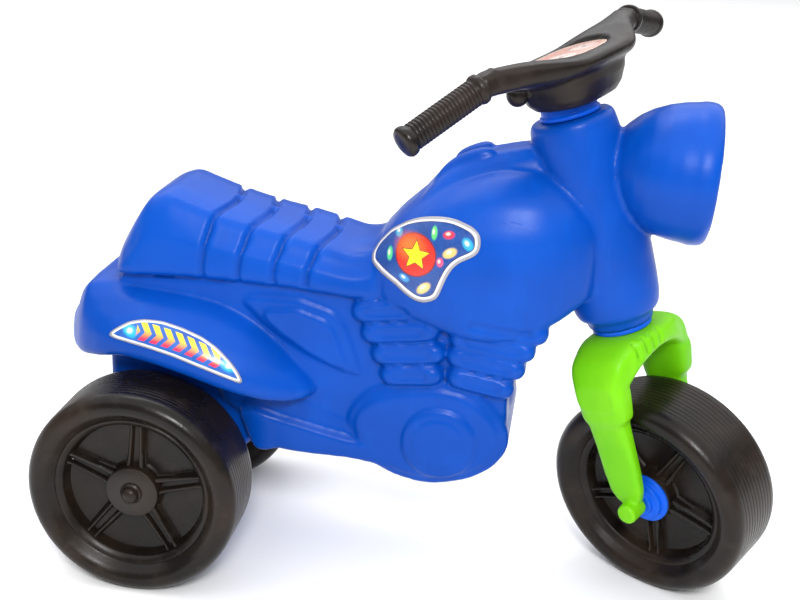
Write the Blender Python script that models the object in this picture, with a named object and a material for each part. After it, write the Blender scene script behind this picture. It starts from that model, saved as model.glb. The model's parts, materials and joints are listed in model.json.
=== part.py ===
"""Ride-on toy motorcycle: a hollow body on two rear wheels and one steered front wheel.

Lengths are in millimetres and MM turns them into Blender's metres. Body points are measured from
the floor under the rear axle: X forward, Y to the rider's left, Z up. Steering points are measured
from the front wheel's centre: X forward, Y left, Z up the steering axis.
"""

import math

import bmesh
import bpy
from mathutils import Matrix, Vector

MM = 0.001
GAP = 0.3
TURNS = 24

# Driving dimensions
TYRE_RADIUS = 100.0
TYRE_WIDTH = 76.4
WHEELBASE = 481.6
REAR_WHEEL_Y = 111.5
FRONT_AXLE_Z = 102.83
STEER_RAKE = 18.7
STEER_TURN = 33.4
FOOTPRINT_X = 240.2
FOOTPRINT_Y = 7.5
WALL = 3.5

# Shafts and bores
AXLE_RADIUS = 5.0
BORE_RADIUS = 5.3
STEM_RADIUS = 10.0
STEM_BORE = 4.3
BOLT_RADIUS = 4.0

# Stations along the steering axis, from the front wheel's centre
CROWN_TOP = 165.0
TUBE_BOTTOM = 170.0
TUBE_TOP = 367.0
POD_BOTTOM = 378.5
DASH_TOP = 421.0

# Body widths, half of each
REAR_HALF = 52.0
MID_HALF = 60.0
CRANKCASE_HALF = 68.0
COVER_HALF = 71.0

BLUE = (0.006, 0.095, 0.60)
GREEN = (0.20, 0.68, 0.015)
BLACK = (0.022, 0.017, 0.015)
STEEL = (0.55, 0.55, 0.56)
LABEL = (0.75, 0.72, 0.70)


def clear_scene():
    for obj in list(bpy.data.objects):
        bpy.data.objects.remove(obj, do_unlink=True)


def make_material(name, colour, roughness, metallic=0.0):
    material = bpy.data.materials.new(name)
    material.use_nodes = True
    shader = material.node_tree.nodes["Principled BSDF"]
    shader.inputs["Base Color"].default_value = (*colour, 1.0)
    shader.inputs["Roughness"].default_value = roughness
    shader.inputs["Metallic"].default_value = metallic
    return material


def add_empty(name, location, rotation, parent=None):
    empty = bpy.data.objects.new(name, None)
    bpy.context.scene.collection.objects.link(empty)
    empty.parent = parent
    empty.matrix_local = Matrix.Translation(Vector(location) * MM) @ rotation
    return empty


def add_object(name, mesh_or_bm, material, parent, location=(0, 0, 0)):
    """Makes a smooth-shaded object from a bmesh, or one that shares another object's mesh."""
    if isinstance(mesh_or_bm, bpy.types.Mesh):
        mesh = mesh_or_bm
    else:
        mesh = bpy.data.meshes.new(name)
        mesh_or_bm.to_mesh(mesh)
        mesh_or_bm.free()
        mesh.materials.append(make_material(name, *material))
        mesh.shade_smooth()
        mesh.set_sharp_from_angle(angle=math.radians(40))
    obj = bpy.data.objects.new(name, mesh)
    bpy.context.scene.collection.objects.link(obj)
    obj.parent = parent
    obj.location = Vector(location) * MM
    return obj


def combine(target, name, bm, operation, location=(0, 0, 0)):
    """Adds a hidden helper beside target, and joins it to target or cuts it away."""
    helper = add_object(name, bm, (BLUE, 0.5), target.parent, location)
    helper.hide_render = True
    helper.display_type = "WIRE"
    modifier = target.modifiers.new(name, "BOOLEAN")
    modifier.operation = operation
    modifier.solver = "EXACT"
    modifier.object = helper


def loft(rings):
    """A closed solid through rings that have the same number of points, in flat triangles."""
    bm = bmesh.new()
    loops = [[bm.verts.new(Vector(point) * MM) for point in ring] for ring in rings]
    for lower, upper in zip(loops, loops[1:]):
        count = len(lower)
        for i in range(count):
            j = (i + 1) % count
            bm.faces.new((lower[i], lower[j], upper[j]))
            bm.faces.new((lower[i], upper[j], upper[i]))
    bm.faces.new(loops[0])
    bm.faces.new(loops[-1])
    bmesh.ops.recalc_face_normals(bm, faces=bm.faces)
    return bm


def turned(outline, closed=False, steps=TURNS, axis="Z"):
    """A solid of revolution. The outline holds (radius, height) points along the axis."""
    bm = bmesh.new()
    half_step = math.pi / steps
    verts = []
    for radius, height in outline:
        x = radius * math.cos(half_step)
        y = radius * math.sin(half_step)
        verts.append(bm.verts.new((x * MM, y * MM, height * MM)))
    pairs = list(zip(verts, verts[1:]))
    if closed:
        pairs.append((verts[-1], verts[0]))
    edges = [bm.edges.new(pair) for pair in pairs]
    bmesh.ops.spin(
        bm, geom=verts + edges, cent=(0, 0, 0), axis=(0, 0, 1), angle=2 * math.pi, steps=steps, use_merge=True
    )
    bmesh.ops.remove_doubles(bm, verts=bm.verts, dist=1e-6)
    bmesh.ops.recalc_face_normals(bm, faces=bm.faces)
    if axis == "X":
        bmesh.ops.rotate(bm, verts=bm.verts, cent=(0, 0, 0), matrix=Matrix.Rotation(math.pi / 2, 3, "Y"))
    if axis == "Y":
        bmesh.ops.rotate(bm, verts=bm.verts, cent=(0, 0, 0), matrix=Matrix.Rotation(-math.pi / 2, 3, "X"))
    return bm


def slab(outline, half_width, chamfer=0.0):
    """An (x, z) outline extruded across Y, with its rim cut back by the chamfer at both sides."""
    middle_x = sum(x for x, _ in outline) / len(outline)
    middle_z = sum(z for _, z in outline) / len(outline)

    def ring(y, inset):
        points = []
        for x, z in outline:
            reach = math.hypot(x - middle_x, z - middle_z)
            keep = 1 - inset / reach
            points.append((middle_x + (x - middle_x) * keep, y, middle_z + (z - middle_z) * keep))
        return points

    if not chamfer:
        return loft([ring(-half_width, 0), ring(half_width, 0)])
    edge = half_width - chamfer
    return loft([ring(-half_width, chamfer), ring(-edge, 0), ring(edge, 0), ring(half_width, chamfer)])


def oval(centre_x, centre_z, half_x, half_z, count, power=2.0):
    """Points of a superellipse in the XZ plane."""
    points = []
    for i in range(count):
        angle = 2 * math.pi * (i + 0.5) / count
        c = math.cos(angle)
        s = math.sin(angle)
        x = math.copysign(abs(c) ** (2 / power), c)
        z = math.copysign(abs(s) ** (2 / power), s)
        points.append((centre_x + half_x * x, centre_z + half_z * z))
    return points


def mirrored(half):
    """A ring from the points of its -Y half, the first and last of which lie on Y = 0."""
    return half + [(x, -y, z) for x, y, z in reversed(half[1:-1])]


def rod(radius, low, high, axis="Z", steps=TURNS):
    return turned([(0, low), (radius, low), (radius, high), (0, high)], steps=steps, axis=axis)


def tube(outer, inner, low, high, axis="Z", steps=TURNS):
    return turned([(inner, low), (outer, low), (outer, high), (inner, high)], True, steps, axis)


# ---------------------------------------------------------------- body

# x, top height, half width of the seat and of the ridge along the top of the tank
SADDLE = (
    (-46, 300, 62),
    (-36, 314, 66),
    (-22, 334, 69),
    (-6, 351, 70),
    (12, 361, 71),
    (36, 354.5, 71),
    (194, 323.3, 68),
    (216, 342.7, 64),
    (240, 371.6, 56),
    (262, 397.4, 46),
    (285, 409.2, 40),
    (335, 422.3, 36.5),
    (360, 425.4, 34),
)
SADDLE_LOW = 281.0
SEAT_FRONT = 194.0
REAR_SWEEP = 14.0
GROOVES = (62.0, 96.0, 129.0, 161.0)
GROOVE_HALF = 5.0
GROOVE_DEPTH = 5.0
GROOVE_SWEEP = -14.0

# x, bottom, top, half width of the bulge at the tank's sides
TANK = (
    (196, 284.5, 326, 61.5),
    (225, 278.5, 361, 73),
    (255, 270.5, 386, 78.5),
    (290, 262.5, 402, 80),
    (325, 263.5, 408, 79.5),
    (355, 273.5, 404, 74),
    (382, 288.5, 388, 61),
    (403, 311, 357, 38),
)

# x, half width, underside, top of the lip, crest at the body's side
MUDGUARD = (
    (-96, 36, 209, 221, 233),
    (-88, 54, 205, 227, 246),
    (-76, 74, 205, 231, 261),
    (-50, 95, 211, 238, 273),
    (-20, 103, 218, 244, 272),
    (20, 105, 213, 240, 270),
    (60, 104, 203, 230, 262),
    (95, 98, 190, 216, 247),
    (122, 88, 183, 202, 224),
    (142, 74, 181, 192, 203),
    (154, 62, 184, 190, 195),
)

MID_OUTLINE = (
    (50, 291.2),
    (50, 170),
    (80, 153),
    (97, 128),
    (213, 118),
    (240, 108),
    (270, 104),
    (300, 110),
    (325, 132),
    (341, 165),
    (348, 205),
    (358, 255),
    (362, 290),
)
REAR_OUTLINE = ((-36, 284), (-52, 230), (-52, 120), (-40, 84), (60, 84), (100, 126), (120, 132), (120, 290))
PANEL_OUTLINE = (
    (88, 268),
    (110, 275),
    (150, 274),
    (176, 264),
    (190, 232),
    (197, 212),
    (176, 210),
    (125, 238),
)

# Centre x, centre z and half length of each fin, top to bottom, and the slope of its length
REAR_FINS = ((226, 276, 38), (231, 256, 35), (239, 235.5, 32.5), (243.5, 215, 28))
FRONT_FINS = ((320, 271, 41), (315, 252, 38), (310.5, 234, 34.5), (307, 214, 30))
FIN_SLOPE = 7.0
FIN_HALF = 70.0
FIN_ROOT = 63.0

LAMP_Z = 405.0
LAMP_OUTLINE = (
    (0, 405),
    (30, 405),
    (42, 415),
    (53, 430),
    (60, 450),
    (64, 470),
    (64, 484),
    (59, 491),
    (0, 491),
)
TUBE_OUTLINE = (
    (0, TUBE_BOTTOM),
    (29, TUBE_BOTTOM),
    (31, 178),
    (37, 192),
    (41, 215),
    (42, 290),
    (41, 345),
    (38, TUBE_TOP),
    (0, TUBE_TOP),
)


def saddle_ring(x, top, half, sweep, inset=0.0):
    low = SADDLE_LOW + inset
    top = top - inset
    half = half - inset
    height = top - low
    shoulder = min(16.0, height * 0.4)
    section = (
        (0, low),
        (half - 5, low),
        (half, low + min(9.0, height * 0.3)),
        (half - 4, low + height * 0.55),
        (half - 9, top - shoulder),
        (half - 17, top - shoulder * 0.2),
        (half * 0.4, top),
        (0, top + 1),
    )
    return mirrored([(x + sweep * (y / half) ** 2, -y, z) for y, z in section])


def saddle_top(x):
    for (x0, z0, _), (x1, z1, _) in zip(SADDLE, SADDLE[1:]):
        if x0 <= x <= x1:
            return z0 + (z1 - z0) * (x - x0) / (x1 - x0)
    raise ValueError(x)


def saddle(inset=0.0, grooves=True):
    """The seat with its cross grooves, and the ridge of the tank in front of it."""
    stations = [(x, top, half, 0.0) for x, top, half in SADDLE]
    if grooves:
        for centre in GROOVES:
            for shift, depth in ((-GROOVE_HALF, 0), (-2, GROOVE_DEPTH), (2, GROOVE_DEPTH), (GROOVE_HALF, 0)):
                stations.append((centre + shift, saddle_top(centre + shift), 70.0, depth))
    rings = []
    for x, top, half, depth in sorted(stations):
        if x < 0:
            sweep = REAR_SWEEP
        elif GROOVES[0] - 10 < x < SEAT_FRONT - 10:
            sweep = GROOVE_SWEEP
        else:
            sweep = 0.0
        x = pulled_in(x, SADDLE, inset)
        rings.append(saddle_ring(x, top - depth, half - depth, sweep, inset))
    return loft(rings)


def pulled_in(x, stations, inset):
    """The station's x, moved in by the inset if it is the first or the last one."""
    if x == stations[0][0]:
        return x + inset
    if x == stations[-1][0]:
        return x - inset
    return x


def tank(inset=0.0):
    rings = []
    for x, low, high, half in TANK:
        x = pulled_in(x, TANK, inset)
        height = high - low
        half -= inset
        section = (
            (0, low + inset),
            (half * 0.84, low + inset),
            (half * 0.93, low + height * 0.07 + inset * 0.6),
            (half * 0.99, low + height * 0.26),
            (half, low + height * 0.44),
            (half * 0.95, low + height * 0.66),
            (half * 0.79, low + height * 0.85 - inset * 0.6),
            (half * 0.5, low + height * 0.96 - inset),
            (0, high - inset),
        )
        rings.append(mirrored([(x, -y, z) for y, z in section]))
    return loft(rings)


def mudguards(inset=0.0):
    """The tail and both mudguards as one wide wing, which narrows into the body's sides in front."""
    rings = []
    for x, half, low, lip, crest in MUDGUARD:
        x = pulled_in(x, MUDGUARD, inset)
        outer = half - inset
        middle = (MID_HALF + outer) / 2
        section = (
            (0, low + inset),
            (outer - 6, low + inset),
            (outer, low + 5 + inset),
            (outer - 2, lip - inset),
            (middle, (lip + crest) / 2 + 7 - inset),
            (min(58.0, outer * 0.7), crest - inset),
            (0, crest + 2 - inset),
        )
        rings.append(mirrored([(x, -y, z) for y, z in section]))
    return loft(rings)


def fin_stack(fins, slope):
    """One engine cylinder: fins of growing length that run through the body from side to side."""
    rise = math.tan(math.radians(slope))
    levels = []
    for (x0, z0, half0), (x1, z1, half1) in zip(fins, fins[1:]):
        levels.append((x0, z0, half0, FIN_HALF))
        levels.append(((x0 + x1) / 2, (z0 + z1) / 2, (half0 + half1) / 2 - 5, FIN_ROOT))
    x, z, half = fins[-1]
    levels.append((x, z, half, FIN_HALF))
    levels.append((x, z - 11, half - 6, FIN_ROOT))
    levels.append((x, z - 26, half - 6, FIN_ROOT))
    rings = []
    for x, z, half, reach in levels:
        outline = oval(0, 0, half, reach, 12, 3.0)
        rings.append([(x + along, y, z + along * rise) for along, y in outline])
    return loft(rings)


def fairing():
    """The exhaust-like rail low on each side."""
    rings = []
    for x, top, ridge, low in ((84, 166, 156, 133), (90, 170, 158, 131), (206, 154, 138, 121)):
        section = ((0, low), (MID_HALF, low), (66, low + 7), (66, ridge), (MID_HALF, top), (0, top))
        rings.append(mirrored([(x, -y, z) for y, z in section]))
    return loft(rings)


def steering_place(angle=0.0):
    """Matrix of the steering frame, turned to the right by the angle."""
    tilt = Matrix.Rotation(math.radians(-STEER_RAKE), 4, "Y")
    return tilt @ Matrix.Rotation(math.radians(-angle), 4, "Z")


def along_steering(bm):
    """Moves a shape from the straight steering frame into the body's frame."""
    place = Matrix.Translation(Vector((WHEELBASE, 0, FRONT_AXLE_Z)) * MM) @ steering_place()
    bmesh.ops.transform(bm, matrix=place, verts=bm.verts)
    return bm


def lamp(outline):
    bm = turned(outline, axis="X")
    bmesh.ops.translate(bm, vec=(0, 0, LAMP_Z * MM), verts=bm.verts)
    return bm


def inset_outline(outline, inset):
    """A (radius, height) outline from axis to axis, pulled in by a wall's thickness."""
    inner = [(max(radius - inset, 0), height) for radius, height in outline]
    low = outline[0][1] + inset
    high = outline[-1][1] - inset
    return [(radius, min(max(height, low), high)) for radius, height in inner]


def body(base):
    obj = add_object("body_shell", saddle(), (BLUE, 0.38), base)
    combine(obj, "tank_bulge", tank(), "UNION")
    combine(obj, "mid_block", slab(MID_OUTLINE, MID_HALF), "UNION")
    combine(obj, "rear_block", slab(REAR_OUTLINE, REAR_HALF, 2), "UNION")
    combine(obj, "mudguard_wing", mudguards(), "UNION")
    combine(obj, "side_rail", fairing(), "UNION")
    combine(obj, "side_panel", slab(PANEL_OUTLINE, MID_HALF + 2, 1.5), "UNION")
    combine(obj, "rear_cylinder", fin_stack(REAR_FINS, FIN_SLOPE), "UNION")
    combine(obj, "front_cylinder", fin_stack(FRONT_FINS, -FIN_SLOPE), "UNION")
    combine(obj, "crankcase", slab(oval(260, 157, 71, 47, 24, 2.2), CRANKCASE_HALF, 5), "UNION")
    combine(obj, "engine_cover", slab(oval(273, 152, 35, 35, 24), COVER_HALF, 2), "UNION")
    combine(obj, "head_tube", along_steering(turned(TUBE_OUTLINE)), "UNION")
    combine(obj, "lamp_bowl", lamp(LAMP_OUTLINE), "UNION")
    hollow_body(obj)
    return obj


def hollow_body(obj):
    """Cuts the moulding's cavity, which opens at the steering bores and the axle bores."""
    combine(obj, "saddle_hollow", saddle(WALL + GROOVE_DEPTH, False), "DIFFERENCE")
    combine(obj, "tank_hollow", tank(WALL), "DIFFERENCE")
    mid = (
        (64, 300),
        (64, 176),
        (104, 134),
        (216, 124),
        (270, 110),
        (320, 138),
        (340, 200),
        (352, 262),
        (354, 300),
    )
    combine(obj, "mid_hollow", slab(mid, MID_HALF - WALL), "DIFFERENCE")
    rear = ((-29, 294), (-47, 229), (-47, 122), (-37, 88), (57, 88), (96, 130), (110, 138), (110, 294))
    combine(obj, "rear_hollow", slab(rear, REAR_HALF - WALL), "DIFFERENCE")
    tube_hollow = along_steering(turned(inset_outline(TUBE_OUTLINE, WALL)))
    combine(obj, "tube_hollow", tube_hollow, "DIFFERENCE")
    combine(obj, "lamp_hollow", lamp(inset_outline(LAMP_OUTLINE, WALL)), "DIFFERENCE")
    bore = along_steering(rod(SPIGOT_RADIUS + GAP, TUBE_BOTTOM - 5, TUBE_TOP + 5))
    combine(obj, "steering_bore", bore, "DIFFERENCE")
    axle_bore = rod(AXLE_RADIUS + GAP, -REAR_HALF - 20, REAR_HALF + 20, "Y")
    combine(obj, "axle_bore", axle_bore, "DIFFERENCE", (0, 0, TYRE_RADIUS))


# ---------------------------------------------------------------- labels

LABEL_BACK = 0.5
LABEL_TOP = 1.4
TANK_LABEL = (
    (208, 330),
    (216, 313),
    (245, 292),
    (260, 292),
    (270, 316),
    (292, 332),
    (299, 348),
    (292, 359),
    (262, 367),
    (224, 358),
    (209, 343),
)
MUDGUARD_LABEL = (
    (-27, 239),
    (5, 234),
    (39, 229),
    (68, 221),
    (97, 210),
    (84, 228),
    (58, 246),
    (14, 258),
    (-14, 254),
)


def plate(outline, low, high):
    """An (x, y) outline extruded from one height to another."""
    return loft([[(x, y, low) for x, y in outline], [(x, y, high) for x, y in outline]])


def skin_label(name, base, shape, outline, side):
    """A label cut from a thin shell that stands one gap off the surface it is stuck to."""
    low, high = sorted((side * 59, side * 140))
    prism = loft([[(x, low, z) for x, z in outline], [(x, high, z) for x, z in outline]])
    obj = add_object(name, prism, (LABEL, 0.3), base)
    combine(obj, name + "_front", shape(-LABEL_TOP), "INTERSECT")
    combine(obj, name + "_back", shape(-LABEL_BACK), "DIFFERENCE")
    return obj


def labels(base):
    for side, name in ((-1, "right"), (1, "left")):
        obj = skin_label("tank_label_" + name, base, tank, TANK_LABEL, side)
        combine(obj, obj.name + "_seat", saddle(-LABEL_BACK, False), "DIFFERENCE")
        skin_label("mudguard_label_" + name, base, mudguards, MUDGUARD_LABEL, side)
    tail_end = MUDGUARD[0][0]
    tail = oval(0, 221, 27, 9, 16, 3)
    rings = [[(tail_end - depth, y, z) for y, z in tail] for depth in (LABEL_TOP, GAP)]
    add_object("tail_label", loft(rings), (LABEL, 0.3), base)
    face = LAMP_OUTLINE[-1][1]
    lamp_label = rod(50, face + GAP, face + LABEL_TOP, "X")
    add_object("lamp_label", lamp_label, (LABEL, 0.3), base, (0, 0, LAMP_Z))


# ---------------------------------------------------------------- wheels

HUB_FACE = 24.0
HUB_RADIUS = 22.5
DISH_FACE = 13.0
SKIN = 2.6
SPOKES = 5

# radius, distance from the wheel's middle plane
TYRE_SIDE = (
    (BORE_RADIUS, HUB_FACE),
    (HUB_RADIUS, HUB_FACE),
    (24, DISH_FACE),
    (66, DISH_FACE),
    (71, 29),
    (86, TYRE_WIDTH / 2),
    (96, 33),
)
CAVITY_SIDE = (
    (BORE_RADIUS, DISH_FACE - SKIN),
    (68.5, DISH_FACE - SKIN),
    (76, TYRE_WIDTH / 2 - 7),
    (92, TYRE_WIDTH / 2 - 5),
)


def wheel_mesh():
    """A hollow blown wheel: tyre, dish and hub are one skin, open inside only at the bore."""
    rim = 1 / math.cos(math.pi / TURNS)
    tread = ((TYRE_RADIUS * rim, 24),)
    inner_tread = (((TYRE_RADIUS - SKIN) * rim, 23),)
    outer = TYRE_SIDE + tread
    inner = CAVITY_SIDE + inner_tread
    outline = [(r, -y) for r, y in outer] + [(r, y) for r, y in reversed(outer)]
    outline += [(r, y) for r, y in inner] + [(r, -y) for r, y in reversed(inner)]
    return turned(outline, closed=True, axis="Y")


def spoke_bars(phase):
    """Five bars on each face of the dish, from the hub to the rim."""
    bm = bmesh.new()
    for side in (-1, 1):
        for i in range(SPOKES):
            angle = math.radians(phase + i * 360 / SPOKES)
            along = Vector((math.cos(angle), 0, math.sin(angle)))
            across = Vector((-math.sin(angle), 0, math.cos(angle)))
            out = Vector((0, side, 0))
            corners = []
            for reach, half, face in ((19, 7, 21), (68, 5, 18)):
                for sideways, depth in ((-1, DISH_FACE - 1.5), (1, DISH_FACE - 1.5), (1, face), (-1, face)):
                    point = along * reach + across * (sideways * half) + out * depth
                    corners.append(bm.verts.new(point * MM))
            low = corners[:4]
            high = corners[4:]
            for j in range(4):
                k = (j + 1) % 4
                bm.faces.new((low[j], low[k], high[k], high[j]))
            bm.faces.new(low)
            bm.faces.new(high)
    bmesh.ops.recalc_face_normals(bm, faces=bm.faces)
    return bm


def wheel(name, parent, location, phase):
    obj = add_object(name, wheel_mesh(), (BLACK, 0.42), parent, location)
    combine(obj, name + "_spokes", spoke_bars(phase), "UNION", location)
    return obj


def front_wheel_parts(steering):
    """The front wheel and the two stepped bushes that keep it central between the fork legs."""
    add_empty("front_wheel_spin", (0, 0, 0), Matrix(), steering)
    wheel("front_wheel", steering, (0, 0, 0), 44)
    low = HUB_FACE + GAP
    outline = (
        (BORE_RADIUS, low),
        (19.5, low),
        (19.5, 28),
        (15.5, 28),
        (15.5, 34),
        (11.5, 34),
        (11.5, FORK_INNER - GAP),
        (BORE_RADIUS, FORK_INNER - GAP),
    )
    for side, name in ((-1, "front_hub_bush_right"), (1, "front_hub_bush_left")):
        mirrored_outline = [(radius, side * y) for radius, y in outline]
        add_object(name, turned(mirrored_outline, True, 16, "Y"), (BLUE, 0.3), steering)


def axle_cap(low, depth):
    """Outline of a domed push-on cap, whose socket takes this depth of the axle."""
    return (
        (0, low + depth),
        (AXLE_RADIUS, low + depth),
        (AXLE_RADIUS, low),
        (8.5, low),
        (8.5, low + 2.5),
        (6, low + depth + 2.5),
        (0, low + depth + 4.5),
    )


def rear_wheel_parts(base):
    """The rear axle, its wheels, the domed caps outside them and the spacers inside them."""
    end = REAR_WHEEL_Y + HUB_FACE + 5
    place = (0, 0, TYRE_RADIUS)
    add_object("rear_axle", rod(AXLE_RADIUS - 0.2, -end, end, "Y"), (STEEL, 0.3, 1.0), base, place)
    cap_low = REAR_WHEEL_Y + HUB_FACE + GAP
    cap = axle_cap(cap_low, 5)
    spacer = (REAR_HALF + GAP, REAR_WHEEL_Y - HUB_FACE - GAP)
    for side, name in ((-1, "right"), (1, "left")):
        phase = 86.4 if side < 0 else 93.6
        wheel("rear_wheel_" + name, base, (0, side * REAR_WHEEL_Y, TYRE_RADIUS), phase)
        shape = turned([(radius, side * y) for radius, y in cap], steps=16, axis="Y")
        add_object("rear_axle_cap_" + name, shape, (BLACK, 0.35), base, place)
        low, high = sorted(side * y for y in spacer)
        shape = tube(9, BORE_RADIUS, low, high, "Y")
        add_object("rear_spacer_" + name, shape, (BLUE, 0.4), base, place)


# ---------------------------------------------------------------- fork and steering

FORK_INNER = 41.0
BOSS_END = 63.0
BOSS_RADIUS = 8.5
SPIGOT_RADIUS = 17.0

# height, rear edge, front edge, inner face and outer face of each leg, bottom to top
FORK_LEG = (
    (-3, -9, 7, FORK_INNER, 51),
    (8, -15, 11, FORK_INNER, 53),
    (32, -19, 17, FORK_INNER, 55),
    (88, -20, 20, FORK_INNER, 60),
    (96, -23, 24, FORK_INNER, 63),
    (118, -24, 28, FORK_INNER, 66),
    (136, -25, 33, FORK_INNER - 3, 65),
)
# height, rear edge, front edge and half width of the crown over the wheel
CROWN = (
    (136, -24, 35, 62),
    (148, -26, 37, 60),
    (158, -28, 37, 52),
    (CROWN_TOP, -26, 34, 42),
)


def rounded_box_ring(x0, x1, y0, y1, z, corner):
    """A rectangle with its corners cut, level at height z."""
    c = min(corner, (x1 - x0) * 0.35, (y1 - y0) * 0.35)
    return [
        (x0 + c, y0, z),
        (x1 - c, y0, z),
        (x1, y0 + c, z),
        (x1, y1 - c, z),
        (x1 - c, y1, z),
        (x0 + c, y1, z),
        (x0, y1 - c, z),
        (x0, y0 + c, z),
    ]


def fork(steering):
    """Crown, two legs and the axle bosses, moulded in one piece."""
    crown = loft([rounded_box_ring(x0, x1, -half, half, z, 9) for z, x0, x1, half in CROWN])
    obj = add_object("fork", crown, (GREEN, 0.38), steering)
    for side, name in ((-1, "right"), (1, "left")):
        rings = []
        for z, x0, x1, inner, outer in FORK_LEG:
            low, high = sorted((side * inner, side * outer))
            rings.append(rounded_box_ring(x0, x1, low, high, z + (0.4 if z == 136 else 0), 5))
        combine(obj, "fork_leg_" + name, loft(rings), "UNION")
        low, high = sorted((side * FORK_INNER, side * BOSS_END))
        combine(obj, "fork_boss_" + name, rod(BOSS_RADIUS, low, high, "Y", 16), "UNION")
    arch = rod(28, -FORK_INNER, FORK_INNER, "Y", 16)
    bmesh.ops.scale(arch, vec=(1.9, 1, 1), verts=arch.verts)
    combine(obj, "fork_arch", arch, "DIFFERENCE", (4, 0, 113))
    combine(obj, "stem_bore", rod(STEM_RADIUS + GAP, 100, CROWN_TOP + 10), "DIFFERENCE")
    axle_bore = rod(AXLE_RADIUS + GAP, -BOSS_END + 5, BOSS_END + 5, "Y")
    combine(obj, "fork_axle_bore", axle_bore, "DIFFERENCE")
    return obj


# lateral place, rear edge, front edge, underside, top: the right half of the bar, from the middle out
HANDLEBAR = (
    (0, -31, 60, POD_BOTTOM, 424),
    (22, -31, 59, POD_BOTTOM, 424),
    (42, -27, 53, 384, 426),
    (58, -17, 42, 395, 430),
    (74, -7, 33, 404, 433),
    (90, -6, 24, 411, 435),
    (103, -6, 17, 414, 436),
)
GRIP_START = (5, 108, 425)
GRIP_END = (-20, 182, 410)
BAR_RADIUS = 10.5


def bar_ring(y, x0, x1, z0, z1):
    middle_x = (x0 + x1) / 2
    middle_z = (z0 + z1) / 2
    outline = oval(middle_x, middle_z, (x1 - x0) / 2, (z1 - z0) / 2, 16, 2.6)
    return [(x, y, z) for x, z in outline]


def grip_place(side):
    """Matrix that puts Z along a grip, from its inner flange outwards."""
    start = Vector((GRIP_START[0], side * GRIP_START[1], GRIP_START[2])) * MM
    end = Vector((GRIP_END[0], side * GRIP_END[1], GRIP_END[2])) * MM
    turn = (end - start).to_track_quat("Z", "X").to_matrix().to_4x4()
    return Matrix.Translation(start) @ turn


def handlebar(steering):
    rings = [bar_ring(-y, x0, x1, z0, z1) for y, x0, x1, z0, z1 in reversed(HANDLEBAR)]
    rings += [bar_ring(y, x0, x1, z0, z1) for y, x0, x1, z0, z1 in HANDLEBAR[1:]]
    obj = add_object("handlebar", loft(rings), (BLACK, 0.4), steering)
    length = (Vector(GRIP_END) - Vector(GRIP_START)).length
    for side, name in ((-1, "right"), (1, "left")):
        place = grip_place(side)
        bar = rod(BAR_RADIUS, -14, length - 4, steps=16)
        bmesh.ops.transform(bar, matrix=place, verts=bar.verts)
        combine(obj, "bar_end_" + name, bar, "UNION")
        grip = turned(
            (
                (0, length - 4 + GAP),
                (BAR_RADIUS + GAP, length - 4 + GAP),
                (BAR_RADIUS + GAP, 3),
                (17, 3),
                (17, 8),
                (14, 11),
                (14, length - 6),
                (17, length - 4),
                (17, length + 1),
                (14, length + 3),
                (0, length + 3),
            ),
            steps=16,
        )
        bmesh.ops.transform(grip, matrix=place, verts=grip.verts)
        add_object("grip_" + name, grip, (BLACK, 0.45), steering)
    combine(obj, "dash_recess", plate(dash_outline(1.0), DASH_TOP, DASH_TOP + 30), "DIFFERENCE")
    combine(obj, "nut_pocket", rod(15, NUT_SEAT, DASH_TOP + 10), "DIFFERENCE")
    combine(obj, "bar_stem_bore", rod(STEM_RADIUS + GAP, POD_BOTTOM - 20, NUT_SEAT + 10), "DIFFERENCE")
    return obj


NUT_SEAT = 408.0
STEM_LOW = 144.0
BOLT_LENGTH = 276.0


def dash_outline(margin=0.0):
    """Rounded outline of the dash face, seen along the steering axis."""
    return [(13 + x, y) for x, y in oval(0, 0, 27 + margin, 40 + margin, 20, 2.6)]


def stem_parts(steering):
    """The stem tube, its bushes, and the long bolt that clamps the bar to the fork."""
    stem_top = NUT_SEAT - GAP
    stem = tube(STEM_RADIUS, STEM_BORE, STEM_LOW, stem_top)
    add_object("steering_stem", stem, (STEEL, 0.35, 1.0), steering)
    washer = tube(13, STEM_BORE, NUT_SEAT + GAP, NUT_SEAT + 2.3)
    add_object("stem_washer", washer, (STEEL, 0.3, 1.0), steering)
    nut = tube(7.5, STEM_BORE / math.cos(math.pi / 6), NUT_SEAT + 2.6, NUT_SEAT + 9, steps=6)
    add_object("stem_nut", nut, (STEEL, 0.3, 1.0), steering)
    bolt_low = STEM_LOW - 6
    bolt_high = bolt_low + BOLT_LENGTH
    bolt = turned(
        (
            (0, bolt_low),
            (8, bolt_low),
            (8, STEM_LOW - GAP),
            (BOLT_RADIUS, STEM_LOW - GAP),
            (BOLT_RADIUS, bolt_high),
            (0, bolt_high),
        )
    )
    add_object("stem_bolt", bolt, (STEEL, 0.3, 1.0), steering)
    add_object("dash_label", plate(dash_outline(), DASH_TOP + GAP, DASH_TOP + 1.1), (LABEL, 0.3), steering)


def bushes(base):
    """The two blue bushes that line the head tube's ends."""
    bore = STEM_RADIUS + GAP
    upper = turned(
        (
            (bore, TUBE_TOP - 16),
            (SPIGOT_RADIUS, TUBE_TOP - 16),
            (SPIGOT_RADIUS, TUBE_TOP + GAP),
            (27.5, TUBE_TOP + GAP),
            (27.5, POD_BOTTOM - GAP),
            (bore, POD_BOTTOM - GAP),
        ),
        closed=True,
    )
    add_object("upper_bush", along_steering(upper), (BLUE, 0.3), base)
    lower = turned(
        (
            (bore, CROWN_TOP + GAP),
            (27.5, CROWN_TOP + GAP),
            (27.5, TUBE_BOTTOM - GAP),
            (SPIGOT_RADIUS, TUBE_BOTTOM - GAP),
            (SPIGOT_RADIUS, TUBE_BOTTOM + 16),
            (bore, TUBE_BOTTOM + 16),
        ),
        closed=True,
    )
    add_object("lower_bush", along_steering(lower), (BLUE, 0.3), base)


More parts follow.
